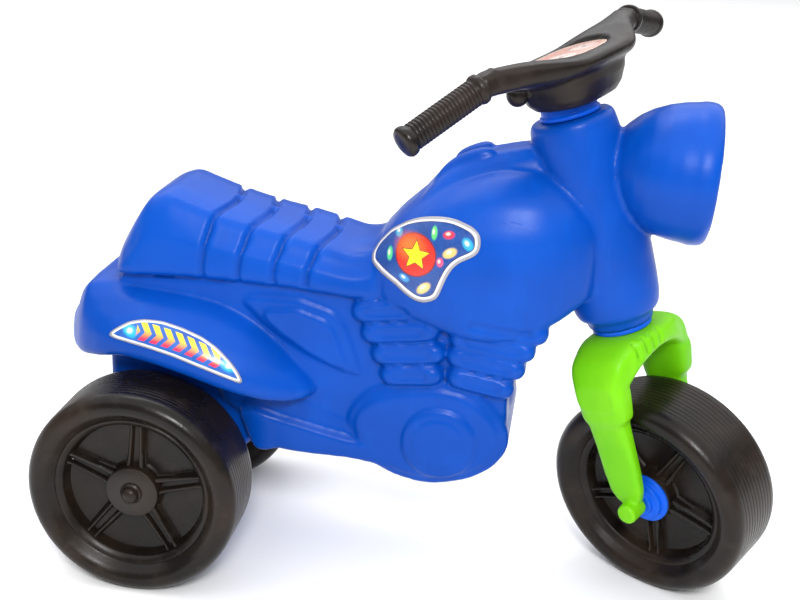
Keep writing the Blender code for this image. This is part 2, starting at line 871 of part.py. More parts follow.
def front_axle_parts(steering):
    """The axle goes in from the left, stops in the closed right boss and takes a cap on the left."""
    low = -BOSS_END + 5 + GAP
    high = BOSS_END + 4
    add_object("front_axle", rod(AXLE_RADIUS - 0.2, low, high, "Y"), (STEEL, 0.3, 1.0), steering)
    cap_low = BOSS_END + GAP
    add_object("front_axle_cap", turned(axle_cap(cap_low, 4), steps=16, axis="Y"), (BLACK, 0.35), steering)


def main():
    clear_scene()
    base = add_empty("base", (-FOOTPRINT_X, -FOOTPRINT_Y, 0), Matrix())
    steering = add_empty("steering", (WHEELBASE, 0, FRONT_AXLE_Z), steering_place(STEER_TURN), base)
    body(base)
    rear_wheel_parts(base)
    labels(base)
    bushes(base)
    stem_parts(steering)
    fork(steering)
    handlebar(steering)
    front_wheel_parts(steering)
    front_axle_parts(steering)


main()
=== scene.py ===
"""The ride-on toy motorcycle's looks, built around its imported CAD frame.

Shapes are drawn in millimetres. Body points are measured from the floor under the rear axle
(X forward, Y to the rider's left, Z up). Steering points are measured from the front wheel's centre
(X forward, Y left, Z up the steering axis).
"""

import json
import math

import bmesh
import bpy
import numpy as np
from mathutils import Matrix, Vector
from mathutils.bvhtree import BVHTree


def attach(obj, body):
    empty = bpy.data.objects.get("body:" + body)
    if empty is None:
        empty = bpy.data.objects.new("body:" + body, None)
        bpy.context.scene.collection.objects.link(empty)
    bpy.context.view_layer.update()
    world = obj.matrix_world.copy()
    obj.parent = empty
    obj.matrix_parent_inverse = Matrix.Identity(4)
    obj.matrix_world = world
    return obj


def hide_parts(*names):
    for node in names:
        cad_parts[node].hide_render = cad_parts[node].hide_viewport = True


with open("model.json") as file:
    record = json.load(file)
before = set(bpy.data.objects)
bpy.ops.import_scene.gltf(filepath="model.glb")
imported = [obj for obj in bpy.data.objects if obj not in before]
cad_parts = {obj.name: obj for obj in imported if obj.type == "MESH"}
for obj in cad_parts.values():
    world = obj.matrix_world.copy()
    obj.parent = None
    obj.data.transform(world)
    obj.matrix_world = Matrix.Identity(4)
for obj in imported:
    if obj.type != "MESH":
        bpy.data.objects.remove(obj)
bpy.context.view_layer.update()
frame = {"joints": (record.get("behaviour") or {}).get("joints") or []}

MM = 0.001
SIDES = ((-1, "right"), (1, "left"))
# The cell size of each blended skin
BODY_CELL = 2.3
FORK_CELL = 1.8
BAR_CELL = 1.7
JOINTS = {joint["name"]: joint for joint in frame["joints"]}


# ------------------------------------------------------------ places taken from the frame

AXLE = Vector(JOINTS["rear_wheel_right_spin"]["pos_m"])
AXLE_LEFT = Vector(JOINTS["rear_wheel_left_spin"]["pos_m"])
MIDDLE_Y = (AXLE.y + AXLE_LEFT.y) / 2
BODY = Matrix.Translation((AXLE.x, MIDDLE_Y, 0)) @ Matrix.Scale(MM, 4)
HUB_POINT = Vector(JOINTS["steering_turn"]["pos_m"])
STEER_AXIS = Vector(JOINTS["steering_turn"]["axis"]).normalized()
WHEEL_AXIS = Vector(JOINTS["front_wheel_spin"]["axis"]).normalized()


def frame_matrix(origin, y_axis, z_axis):
    x_axis = y_axis.cross(z_axis)
    turn = Matrix((x_axis, y_axis, z_axis)).transposed().to_4x4()
    return Matrix.Translation(origin) @ turn @ Matrix.Scale(MM, 4)


STEERED = frame_matrix(HUB_POINT, WHEEL_AXIS, STEER_AXIS)
STRAIGHT = frame_matrix(HUB_POINT, Vector((0, 1, 0)), STEER_AXIS)


def rear_wheel_place(side):
    return Matrix.Translation(AXLE if side < 0 else AXLE_LEFT) @ Matrix.Scale(MM, 4)


# ------------------------------------------------------------ mesh helpers


def smooth_line(keys, values, at):
    """A smooth curve through the values, read at the given places."""
    keys = np.asarray(keys, float)
    values = np.asarray(values, float)
    at = np.clip(np.asarray(at, float), keys[0], keys[-1])
    slopes = np.gradient(values, keys)
    i = np.clip(np.searchsorted(keys, at) - 1, 0, len(keys) - 2)
    width = keys[i + 1] - keys[i]
    t = (at - keys[i]) / width
    first = (1 + 2 * t) * (1 - t) ** 2 * values[i] + t * (1 - t) ** 2 * width * slopes[i]
    second = t * t * (3 - 2 * t) * values[i + 1] - t * t * (1 - t) * width * slopes[i + 1]
    return first + second


def columns(table, at):
    """A table's other columns, read smoothly at places along its first one."""
    return [smooth_line(table[:, 0], table[:, k], at) for k in range(1, table.shape[1])]


def smooth_loop(points, count, corner=0.5):
    """A closed outline resampled at even steps, with its corners eased."""
    points = np.asarray(points, float)
    closed = np.vstack([points, points[:1]])
    lengths = np.linalg.norm(np.diff(closed, axis=0), axis=1)
    along = np.concatenate([[0], np.cumsum(lengths)])
    at = np.linspace(0, along[-1], count, endpoint=False)
    even = np.stack([np.interp(at, along, closed[:, k]) for k in range(points.shape[1])], axis=1)
    for _ in range(int(corner * count / 10)):
        even = (np.roll(even, 1, axis=0) + 2 * even + np.roll(even, -1, axis=0)) / 4
    return even


def offset_loop(loop, distance):
    """The outline moved inwards by a distance."""
    tangent = np.roll(loop, -1, axis=0) - np.roll(loop, 1, axis=0)
    tangent /= np.linalg.norm(tangent, axis=1, keepdims=True)
    normal = np.stack([-tangent[:, 1], tangent[:, 0]], axis=1)
    area = np.sum(loop[:, 0] * np.roll(loop[:, 1], -1) - np.roll(loop[:, 0], -1) * loop[:, 1])
    return loop + normal * distance * (1 if area > 0 else -1)


def section_ring(x, half, count, corner):
    """A ring across the body at x, from one half of its section, which is mirrored."""
    loop = smooth_loop(half + [(-y, z) for y, z in reversed(half)], count, corner)
    return np.stack([np.full(count, x), loop[:, 0], loop[:, 1]], axis=1)


def superellipse(count, power):
    """The x and y of points round a rounded rectangle that is 2 wide and 2 high."""
    angle = 2 * np.pi * (np.arange(count) + 0.5) / count
    c, s = np.cos(angle), np.sin(angle)
    return np.sign(c) * np.abs(c) ** (2 / power), np.sign(s) * np.abs(s) ** (2 / power)


def tube_faces(rings, count, start=0, closed=False, caps=True):
    faces = []
    last = rings if closed else rings - 1
    for r in range(last):
        low = start + r * count
        high = start + ((r + 1) % rings) * count
        for i in range(count):
            j = (i + 1) % count
            faces.append((low + i, low + j, high + j, high + i))
    if caps and not closed:
        faces.append(tuple(start + i for i in reversed(range(count))))
        faces.append(tuple(start + (rings - 1) * count + i for i in range(count)))
    return faces


class Shape:
    """Vertices and faces gathered from several closed solids."""

    def __init__(self):
        self.points = []
        self.faces = []

    def add_rings(self, rings, place=None, closed=False):
        rings = np.asarray(rings, float)
        start = sum(len(p) for p in self.points)
        points = rings.reshape(-1, 3)
        if place is not None:
            points = moved(points, place)
        self.points.append(points)
        self.faces += tube_faces(len(rings), rings.shape[1], start, closed)
        return self

    def mesh(self, name, place=Matrix.Identity(4)):
        mesh = bpy.data.meshes.new(name)
        mesh.from_pydata(moved(np.vstack(self.points), place).tolist(), [], self.faces)
        mesh.validate()
        return mesh


def moved(points, place):
    place = np.array(place)
    return points @ place[:3, :3].T + place[:3, 3]


def add_piece(name, mesh, body, replaced=(), sharp=35):
    obj = bpy.data.objects.new(name, mesh)
    bpy.context.scene.collection.objects.link(obj)
    mesh.shade_smooth()
    if sharp:
        mesh.set_sharp_from_angle(angle=math.radians(sharp))
    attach(obj, body)
    if replaced:
        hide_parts(*replaced)
    return obj


def outward(obj):
    """Turns every face of a closed piece outwards."""
    bm = bmesh.new()
    bm.from_mesh(obj.data)
    bmesh.ops.recalc_face_normals(bm, faces=bm.faces)
    bm.to_mesh(obj.data)
    bm.free()
    return obj


def turned_rings(outline, steps, axis="Z"):
    """Rings of a solid of revolution: (radius, height) points turned about an axis."""
    angle = 2 * np.pi * np.arange(steps) / steps
    rings = []
    for radius, height in outline:
        radius = max(radius, 0.01)
        c, s = radius * np.cos(angle), radius * np.sin(angle)
        h = np.full(steps, float(height))
        ordered = {"Z": (c, s, h), "Y": (c, h, s), "X": (h, c, s)}[axis]
        rings.append(np.stack(ordered, axis=1))
    return rings


def eased(outline, size=0.6, rounds=1):
    """Cuts the corners of an outline by a small distance, so that edges catch the light."""
    outline = [np.asarray(p, float) for p in outline]
    for _ in range(rounds):
        result = [outline[0]]
        for before, here, after in zip(outline, outline[1:], outline[2:]):
            a, b = before - here, after - here
            la, lb = np.linalg.norm(a), np.linalg.norm(b)
            if la < 1e-6 or lb < 1e-6:
                continue
            cut = min(size, la * 0.35, lb * 0.35)
            result += [here + a / la * cut, here + b / lb * cut]
        result.append(outline[-1])
        outline = result
        size *= 0.4
    return [tuple(p) for p in outline]


def turned_piece(name, outline, place, body, node, axis="Z", steps=72, closed=False, ease=0.6):
    """A solid of revolution that replaces one CAD node, with its corners eased."""
    if ease:
        if closed:
            outline = list(outline) + [outline[0]]
            outline = eased(outline, ease, 2)[:-1]
        else:
            outline = eased(outline, ease, 2)
    shape = Shape().add_rings(turned_rings(outline, steps, axis), closed=closed)
    return outward(add_piece(name, shape.mesh(name, place), body, (node,), 40))


def blended(shape, name, voxel, rounds):
    """Joins a shape's overlapping solids into one even skin, in millimetres, and eases its creases."""
    mesh = shape.mesh(name + "_parts")
    obj = bpy.data.objects.new(name + "_parts", mesh)
    bpy.context.scene.collection.objects.link(obj)
    remesh = obj.modifiers.new("skin", "REMESH")
    remesh.mode = "VOXEL"
    remesh.voxel_size = voxel
    bpy.context.view_layer.update()
    graph = bpy.context.evaluated_depsgraph_get()
    skin = bpy.data.meshes.new_from_object(obj.evaluated_get(graph))
    bpy.data.objects.remove(obj)
    bpy.data.meshes.remove(mesh)
    skin.name = name
    relax(skin, rounds)
    return skin


def read_points(mesh, kind="co"):
    """The place of each point, or its normal."""
    values = np.empty(len(mesh.vertices) * 3, np.float32)
    mesh.vertices.foreach_get(kind, values)
    return values.reshape(-1, 3).astype(float)


def write_points(mesh, points):
    mesh.vertices.foreach_set("co", points.astype(np.float32).ravel())
    mesh.update()


def relax(mesh, rounds, weight=None):
    """Evens out a skin without shrinking it. Weight is a function of the points, from 0 to 1."""
    points = read_points(mesh)
    edges = np.empty(len(mesh.edges) * 2, np.int32)
    mesh.edges.foreach_get("vertices", edges)
    edges = edges.reshape(-1, 2)
    ends = np.concatenate([edges[:, 0], edges[:, 1]])
    others = np.concatenate([edges[:, 1], edges[:, 0]])
    degree = np.maximum(np.bincount(ends, minlength=len(points)), 1)
    share = np.ones(len(points)) if weight is None else weight(points)
    for _ in range(rounds):
        for step in (0.5, -0.53):
            sums = [np.bincount(ends, points[others, k], len(points)) for k in range(3)]
            mean = np.stack(sums, axis=1) / degree[:, None]
            points = points + (mean - points) * (share * step)[:, None]
    write_points(mesh, points)


def between(low, high, place):
    """From low, where the place is -1, to high, where it is 1."""
    return (low + high) / 2 + (high - low) / 2 * place


def ease_in(value, low, high):
    t = np.clip((value - low) / (high - low), 0, 1)
    return t * t * (3 - 2 * t)


# ------------------------------------------------------------ solids of the blue body


def slab_rings(outline, half, edge, count=140, corner=0.5):
    """An (x, z) outline across the body, whose rims are rounded by the edge's radius."""
    loop = smooth_loop(outline, count, corner)
    rings = []
    turns = [0, 0.25, 0.5, 0.75, 1] if edge else [1]
    for side in (-1, 1):
        ordered = turns if side < 0 else turns[::-1]
        for t in ordered:
            angle = t * np.pi / 2
            ring = offset_loop(loop, edge * (1 - math.sin(angle)))
            y = side * (half - edge * (1 - math.cos(angle)))
            rings.append(np.stack([ring[:, 0], np.full(count, y), ring[:, 1]], axis=1))
    return rings


SADDLE = np.array([
    (-48, 294, 62),
    (-45, 302, 66),
    (-38, 316, 69),
    (-27, 334, 70),
    (-15, 350, 70),
    (-3, 359, 70),
    (10, 363, 70),
    (25, 359, 70),
    (40, 354, 70),
    (64, 347, 70),
    (96, 339.5, 70),
    (129, 333.5, 70),
    (160, 326.5, 70),
    (184, 322, 69),
    (200, 327, 67),
    (216, 343, 64),
    (232, 362, 59),
    (248, 383, 53),
    (262, 398, 47),
    (280, 409, 43),
    (300, 415, 40),
    (330, 422, 38),
    (362, 426, 36),
])
SADDLE_EDGE = np.array([(-48, 286), (36, 290), (84, 290), (130, 289), (186, 285), (231, 281), (362, 281)])
# Where the seat's cross grooves are along it, their depth, and the uncut bridge in each
GROOVES = (62, 96, 129, 160)
GROOVE_DEPTH = 4.2
BRIDGE_Y = 12


def groove_line(x, y, z):
    """How far a point of the seat is from the nearest cross groove, whose sides sweep back."""
    nearest = np.full(len(x), 1e3)
    for centre in GROOVES:
        line = centre - 9 * (y / 58) ** 2 - 3 * ease_in(345 - z, 0, 60)
        nearest = np.minimum(nearest, np.abs(x - line))
    return nearest


def saddle_rings():
    stations = np.concatenate([np.linspace(-48, -30, 12), np.linspace(-28, 362, 190)])
    top, half = columns(SADDLE, stations)
    low = np.interp(stations, SADDLE_EDGE[:, 0], SADDLE_EDGE[:, 1])
    rings = []
    for x, z1, w, z0 in zip(stations, top, half, low):
        height = z1 - z0
        shoulder = min(19, height * 0.36)
        section = [
            (w * 0.5, z0 - 1),
            (w - 5, z0 - 1),
            (w - 0.5, z0 + 2),
            (w, z0 + min(8, height * 0.3)),
            (w - 2.5, z0 + height * 0.5),
            (w - 8.5, z1 - shoulder),
            (w - 14, z1 - shoulder * 0.4),
            (w - 21, z1 - shoulder * 0.08),
            (w * 0.45, z1 + 0.8),
        ]
        ring = section_ring(x, section, 120, 0.12)
        ring[:, 0] += 13 * ease_in(np.array(x), 0, -44) * (ring[:, 1] / 66) ** 2
        rings.append(ring)
    return rings


TANK = np.array([
    (197, 298, 316, 34),
    (202, 288, 331, 56),
    (212, 280, 346, 66.5),
    (228, 274, 363, 73.5),
    (255, 266, 386, 78.5),
    (290, 256, 402, 80.5),
    (325, 256.5, 408, 80),
    (355, 268, 404, 74.5),
    (380, 284, 390, 62.5),
    (396, 299, 373, 48),
    (405, 313, 355, 30),
])


def tank_rings():
    parts = ((197, 212, 10), (214, 380, 80), (382, 405, 15))
    stations = np.concatenate([np.linspace(*part) for part in parts])
    low, high, half = columns(TANK, stations)
    rings = []
    for x, z0, z1, w in zip(stations, low, high, half):
        height = z1 - z0
        section = [
            (w * 0.4, z0),
            (w * 0.88, z0),
            (w * 0.96, z0 + height * 0.05),
            (w * 0.995, z0 + height * 0.22),
            (w, z0 + height * 0.44),
            (w * 0.95, z0 + height * 0.66),
            (w * 0.79, z0 + height * 0.85),
            (w * 0.5, z0 + height * 0.96),
            (w * 0.2, z1),
        ]
        rings.append(section_ring(x, section, 100, 0.3))
    return rings


MUDGUARD = np.array([
    (-96, 28, 210, 220, 228),
    (-90, 46, 206, 226, 237),
    (-83, 60, 205, 229, 243),
    (-79, 66, 205, 230, 256),
    (-72, 76, 206, 232, 266),
    (-50, 94, 211, 238, 274),
    (-20, 105, 218, 243, 273),
    (10, 109, 215, 241, 271),
    (40, 110, 208, 235, 268),
    (70, 109, 199, 226, 261),
    (95, 104, 191, 216, 248),
    (118, 95, 185, 206, 230),
    (135, 84, 182, 199, 214),
    (148, 72, 183, 194, 202),
    (156, 60, 186, 191, 195),
])


def mudguard_rings():
    stations = np.linspace(-96, 156, 160)
    half, low, lip, crest = columns(MUDGUARD, stations)
    rings = []
    for x, w, z0, z1, z2 in zip(stations, half, low, lip, crest):
        inner = min(57, w * 0.7)
        section = [
            (w * 0.4, z0),
            (w - 5, z0),
            (w - 1, z0 + 3),
            (w, z0 + 9),
            (w - 2, z1 - 2),
            (w - (w - inner) * 0.25, z1 + (z2 - z1) * 0.36),
            (w - (w - inner) * 0.6, z1 + (z2 - z1) * 0.74),
            (inner, z2),
            (inner * 0.5, z2 + 2),
        ]
        rings.append(section_ring(x, section, 110, 0.1))
    return rings


LOWER_BODY = [
    (58, 290), (58, 166), (80, 153), (97, 128), (213, 119), (235, 109), (266, 103), (300, 111),
    (325, 136), (334, 165), (331, 190), (333, 208), (343, 235), (354, 262), (361, 290),
]
REAR_BODY = [(-38, 284), (-52, 232), (-52, 120), (-41, 84), (60, 84), (92, 126), (120, 134), (120, 284)]
REAR_WALL = [(-36, 284), (-46, 240), (-40, 215), (120, 205), (120, 290)]
CRANKCASE = [
    (189, 161), (194, 175), (205, 187), (220, 195), (237, 200), (269, 205), (291, 203), (310, 192),
    (322, 179), (330, 163), (330, 149), (319, 132), (300, 119), (274, 111), (256, 110), (232, 115),
    (209, 126), (194, 142),
]
PANEL = [
    (83, 269), (92, 275), (137, 276), (168, 267), (180, 255), (191, 226), (197, 207), (176, 210),
    (148, 221), (119, 238), (99, 253),
]
PANEL_TOP = [
    (104, 263), (135, 267), (162, 259), (170, 250), (180, 225), (184, 214), (170, 215), (148, 225),
    (122, 241), (106, 254),
]

# The crankcase cover: its centre, and the radius and half width of each step
COVER_X = 272.5
COVER_Z = 150
COVER_DISCS = ((34.5, 70.5), (26, 72.2))

# Centre x, centre z, half length and slope of each fin
REAR_FINS = ((219, 275, 33, 8), (231, 256, 36, 8), (239.5, 235.5, 34, 7), (243.5, 215, 29, 6))
FRONT_FINS = ((322, 270, 42, -7), (315, 252, 39, -7), (310.5, 234, 36, -8), (307, 214, 31, -9))
FIN_HALF = 71.0
FIN_RADIUS = 10.4
SLOT_RADIUS = 4.6
SLOT_DEPTH = 2.4
BAR = np.array([
    (82, 165, 158, 148, 62),
    (93, 178, 160, 126, 67),
    (122, 180, 154.5, 122.5, 68),
    (142, 177, 150.5, 121, 68),
    (163, 170, 146, 121, 68),
    (189, 160, 141.5, 121, 68),
    (212, 150, 138, 118, 67),
    (236, 139, 129, 111, 64),
    (258, 129, 119, 107, 61),
])


def fin_rings(x, z, half, slope):
    """One engine fin: a long bar with round ends and rounded rims, which runs right through the body."""
    outline = []
    for centre, start in ((half - FIN_RADIUS, -90), (-(half - FIN_RADIUS), 90)):
        for k in range(9):
            angle = math.radians(start + k * 22.5)
            outline.append((centre + FIN_RADIUS * math.cos(angle), FIN_RADIUS * math.sin(angle)))
    a = math.radians(slope)
    c, s = math.cos(a), math.sin(a)
    placed = [(x + u * c - v * s, z + u * s + v * c) for u, v in outline]
    return slab_rings(placed, FIN_HALF, 9.2, 100, 0.1)


def bar_rings():
    stations = np.linspace(82, 258, 56)
    top, ridge, low, half = columns(BAR, stations)
    rings = []
    for x, z2, z1, z0, w in zip(stations, top, ridge, low, half):
        ledge = (w - 58) * 0.6
        section = [
            (20, z0),
            (57, z0),
            (w - 1.5, z0 + 3),
            (w, (z0 + z1) / 2),
            (w, z1 - 1.5),
            (w - 1, z1 + 0.5),
            (w - ledge, z1 + 4.5),
            (59, z2),
            (20, z2),
        ]
        rings.append(section_ring(x, section, 90, 0.05))
    return rings


TUBE = [
    (0, 170), (28, 170), (30, 170.8), (30.5, 176), (31.5, 178.5), (36.5, 181.5), (38.5, 186),
    (40.5, 196), (42, 215), (43, 240), (42.6, 270), (41.2, 320), (39.4, 350), (37.8, 362),
    (35.4, 366.5), (32.5, 367.5), (0, 367.5),
]
LAMP = [
    (0, 396), (24, 396), (32, 408), (38, 414), (46, 423), (52.5, 434), (57.5, 447), (60.5, 460),
    (62, 472), (63, 476), (63, 482), (62.2, 487), (59, 491), (55.5, 491.5), (52.5, 490), (0, 490),
]
LAMP_Z = 407
LAMP_FACE = 484
LAMP_TILT = math.radians(2)
LAMP_PLACE = (
    Matrix.Translation((LAMP_FACE, 0, LAMP_Z))
    @ Matrix.Rotation(LAMP_TILT, 4, "Y")
    @ Matrix.Translation((-LAMP_FACE, 0, 0))
)

# Middle y, first x and last x of each ridge of the filler cap
CAP_RIDGES = ((-14, 246, 303), (9, 262, 300))


def cap_rings(middle, start, end):
    """One low ridge of the moulded filler cap, along the tank's spine."""
    rings = []
    c, s = superellipse(40, 2.8)
    for t in np.linspace(-0.995, 0.995, 30):
        x = between(start, end, t)
        size = (1 - abs(t) ** 5) ** 0.5
        spine = float(smooth_line(SADDLE[:, 0], SADDLE[:, 1], x))
        rings.append(np.stack([np.full(40, x), middle + 7.8 * size * c, spine - 4 + 11 * size * s], axis=1))
    return rings


def ellipsoid_rings(centre, radii, count=40, levels=18):
    c, s = superellipse(count, 2)
    rings = []
    for k in range(levels + 1):
        angle = -np.pi / 2 + np.pi * k / levels
        r = max(math.cos(angle), 0.02)
        height = np.full(count, centre[2] + radii[2] * math.sin(angle))
        rings.append(np.stack([centre[0] + radii[0] * r * c, centre[1] + radii[1] * r * s, height], axis=1))
    return rings


def body_shape():
    to_body = BODY.inverted() @ STRAIGHT
    shape = Shape()
    shape.add_rings(saddle_rings())
    shape.add_rings(tank_rings())
    shape.add_rings(mudguard_rings())
    shape.add_rings(slab_rings(LOWER_BODY, 58.5, 8, 160, 0.25))
    shape.add_rings(slab_rings(REAR_BODY, 51, 7, 120, 0.25))
    shape.add_rings(slab_rings(REAR_WALL, 58, 7, 120, 0.25))
    shape.add_rings(slab_rings(CRANKCASE, 66.5, 8, 140, 0.3))
    shape.add_rings(slab_rings(offset_loop(smooth_loop(CRANKCASE, 100, 0.3), -6), 62.5, 5, 140, 0.1))
    shape.add_rings(bar_rings())
    shape.add_rings(slab_rings(PANEL, 62.0, 3.0, 120, 0.25))
    shape.add_rings(slab_rings(PANEL_TOP, 64.6, 2.4, 120, 0.25))
    for fin in REAR_FINS + FRONT_FINS:
        shape.add_rings(fin_rings(*fin))
    angles = np.linspace(0, 2 * np.pi, 90)[:-1]
    for radius, half in COVER_DISCS:
        disc = [(COVER_X + radius * math.cos(a), COVER_Z + radius * math.sin(a)) for a in angles]
        shape.add_rings(slab_rings(disc, half, 4.2, 90, 0.1))
    shape.add_rings(turned_rings(TUBE, 90), to_body)
    shape.add_rings(turned_rings(LAMP, 90, "X"), LAMP_PLACE)
    for ridge in CAP_RIDGES:
        shape.add_rings(cap_rings(*ridge))
    shape.add_rings(ellipsoid_rings((-87, 0, 225), (9.5, 38, 15)))
    shape.add_rings(ellipsoid_rings((315, 0, 183), (22, 40, 34)))
    return shape


def softened_places(points):
    """Where the body's moulded parts flow into each other: tank into tube, seat into tank."""
    x, y, z = points.T
    tube = ease_in(x, 352, 378) * ease_in(432 - x, 0, 14) * ease_in(z, 250, 290)
    neck = ease_in(x, 176, 196) * ease_in(240 - x, 0, 16) * ease_in(z, 296, 312)
    spine = ease_in(x, 225, 245) * ease_in(z, 372, 386) * ease_in(22 - np.abs(np.abs(y) - 46), 0, 10) * 0.6
    return np.maximum(np.maximum(tube, neck), spine)


def body_details(mesh):
    """Cuts the seat's grooves and the fins' slots into the finished skin."""
    points = read_points(mesh)
    normals = read_points(mesh, "normal")
    x, y, z = points.T
    on_seat = ease_in(z, 287, 293) * (x < 200) * (x > -60)
    bridge = ease_in(np.abs(y - BRIDGE_Y), 1.5, 4.0)
    depth = GROOVE_DEPTH * (1 - ease_in(groove_line(x, y, z), 1.2, 4.2)) * on_seat * bridge
    points = points - normals * depth[:, None]
    side = np.abs(y) > 63
    for x0, z0, half, slope in REAR_FINS + FRONT_FINS:
        a = math.radians(slope)
        along = (x - x0) * math.cos(a) + (z - z0) * math.sin(a)
        across = -(x - x0) * math.sin(a) + (z - z0) * math.cos(a)
        reach = np.maximum(np.abs(along + 1) - (half - 17), 0)
        distance = np.hypot(reach, across) - SLOT_RADIUS
        recess = SLOT_DEPTH * (1 - ease_in(distance, -1.8, 1.2)) * side * (np.abs(normals[:, 1]) > 0.5)
        points[:, 1] -= np.sign(y) * recess
    write_points(mesh, points)


def make_body():
    mesh = blended(body_shape(), "blue_body", BODY_CELL, 3)
    relax(mesh, 22, softened_places)
    body_details(mesh)
    relax(mesh, 2)
    mesh.transform(BODY)
    return add_piece("blue_body", mesh, "chassis", ("body_shell",), 0)


# ------------------------------------------------------------ fork


def box_ring(v0, v1, u0, u1, s, power=3.6, count=48):
    c, d = superellipse(count, power)
    return np.stack([between(v0, v1, c), between(u0, u1, d), np.full(count, s)], axis=1)


FORK_LEG = np.array([
    (4, -9, 7, 42, 51),
    (8, -14, 10, 41, 53),
    (18, -19, 14, 41, 54),
    (36, -21, 16, 41, 55),
    (65, -21, 17, 41, 57),
    (88, -21, 18, 41, 60.5),
    (92, -21.5, 19, 41, 62),
    (96, -23, 23.5, 41, 63.5),
    (100, -23.5, 25, 41, 64.5),
    (118, -24, 28, 41, 66),
    (127, -24.5, 28, 40, 65),
    (136, -24, 24, 38, 61),
    (143, -22, 17, 34, 55),
])
# Distance from the middle, then back, front, bottom and top of the beam that joins the legs
CROWN = np.array([
    (0, -27, 38, 143, 165),
    (20, -27.5, 37.5, 140, 165),
    (30, -27, 36, 136, 165),
    (45, -26, 31, 125, 160),
    (58, -24.5, 27, 116, 149),
    (66, -19, 21, 108, 132),
])

CROWN_GROOVES = (-32, -20, -9, 2)


def crown_rings():
    rings = []
    c, d = superellipse(60, 4.2)
    for u in np.linspace(-66, 66, 64):
        v0, v1, s0, s1 = columns(CROWN, abs(u))
        rings.append(np.stack([between(v0, v1, c), np.full(60, u), between(s0, s1, d)], axis=1))
    return rings


def fork_shape():
    shape = Shape()
    parts = ((4, 90, 36), (92, 104, 9), (107, 143, 16))
    heights = np.concatenate([np.linspace(*part) for part in parts])
    for side in (-1, 1):
        rings = []
        for s in heights:
            v0, v1, u0, u1 = (np.interp(s, FORK_LEG[:, 0], FORK_LEG[:, k]) for k in (1, 2, 3, 4))
            low, high = sorted((side * u0, side * u1))
            rings.append(box_ring(v0, v1, low, high, s))
        shape.add_rings(rings)
        boss = [(0, side * 40.8), (9.5, side * 40.8), (9.5, side * 63.5), (0, side * 63.5)]
        shape.add_rings(turned_rings(eased(boss, 1.6, 2), 48, "Y"))
    shape.add_rings(crown_rings())
    return shape


def fork_details(mesh):
    points = read_points(mesh)
    normals = read_points(mesh, "normal")
    _, u, s = points.T
    front = (normals[:, 0] > 0.4) * ease_in(s, 146, 149) * ease_in(168 - s, 0, 3)
    for centre in CROWN_GROOVES:
        depth = 2.6 * (1 - ease_in(np.abs(u - centre), 0.8, 3.4)) * front
        points[:, 0] -= depth
    write_points(mesh, points)


def make_fork():
    mesh = blended(fork_shape(), "green_fork", FORK_CELL, 3)
    fork_details(mesh)
    relax(mesh, 1)
    mesh.transform(STEERED)
    return add_piece("green_fork", mesh, "steering", ("fork",), 0)


# ------------------------------------------------------------ handlebar and grips

# Distance from the middle, then back, front, bottom and top of the wing-shaped bar
HANDLEBAR = np.array([
    (0, -31.5, 60, 404, 424),
    (20, -31.5, 59.5, 404, 424),
    (36, -30.5, 57.5, 404, 425),
    (46, -27.5, 53, 404.5, 427),
    (52, -24, 49, 405, 428.5),
    (60, -18, 43, 407, 430.5),
    (75, -9, 32, 411, 433),
    (90, -6, 22.5, 413, 435),
    (103, -6, 17, 414.5, 436),
    (112, -4.5, 14, 415, 434),
])
# Height, then back, front and half width of the pod under the bar
POD = ((379, -15, 35, 31), (381, -20, 40, 36), (387, -25, 45, 41), (398, -29, 50, 45), (410, -29.5, 53, 46.5))
GRIP_START = (5, 108, 425)
GRIP_END = (-22, 184, 405)
GRIP_LENGTH = (Vector(GRIP_END) - Vector(GRIP_START)).length
GRIP_RIBS = 19
# The dash face: its centre ahead of the stem, half its size each way, and the floor it is sunk to
DASH_CENTRE = 13
DASH_HALF = (27, 40)
DASH_POWER = 2.5
DASH_FLOOR = 420.8


def grip_matrix(side):
    start = Vector((GRIP_START[0], side * GRIP_START[1], GRIP_START[2]))
    end = Vector((GRIP_END[0], side * GRIP_END[1], GRIP_END[2]))
    return Matrix.Translation(start) @ (end - start).to_track_quat("Z", "X").to_matrix().to_4x4()


def handlebar_shape():
    shape = Shape()
    stations = np.linspace(-112, 112, 120)
    reach = np.abs(stations)
    v0, v1, s0, s1 = columns(HANDLEBAR, reach)
    c, d = superellipse(72, 2.7)
    rings = []
    for u, a, b, low, high in zip(stations, v0, v1, s0, s1):
        taper = 0.12 * (1 - ease_in(np.array(abs(u)), 45, 85))
        lower = (1 - d) / 2
        width = (b - a) / 2 * (1 - taper * lower**1.6)
        rings.append(np.stack([(a + b) / 2 + width * c, np.full(72, u), between(low, high, d)], axis=1))
    shape.add_rings(rings)
    for side in (-1, 1):
        core = [(0, -16), (9.4, -14), (9.2, 6), (8.6, GRIP_LENGTH - 6), (0, GRIP_LENGTH - 5)]
        shape.add_rings(turned_rings(core, 40), grip_matrix(side))
        shape.add_rings(ellipsoid_rings((-13, side * 48, 401), (10, 9, 10)))
    shape.add_rings([box_ring(v0, v1, -half, half, s, 3.0, 72) for s, v0, v1, half in POD])
    return shape


def dash_loop(count):
    c, s = superellipse(count, DASH_POWER)
    return DASH_CENTRE + DASH_HALF[0] * c, DASH_HALF[1] * s


def handlebar_details(mesh):
    """Sinks the dash face into the top of the pod."""
    points = read_points(mesh)
    v, u, s = points.T
    ahead = np.abs((v - DASH_CENTRE) / (DASH_HALF[0] + 1)) ** DASH_POWER
    aside = np.abs(u / (DASH_HALF[1] + 1)) ** DASH_POWER
    inside = 1 - ease_in((ahead + aside) ** (1 / DASH_POWER), 0.98, 1.04)
    on_top = s > 412
    points[:, 2] = np.where(on_top, s + (np.minimum(s, DASH_FLOOR) - s) * inside, s)
    write_points(mesh, points)


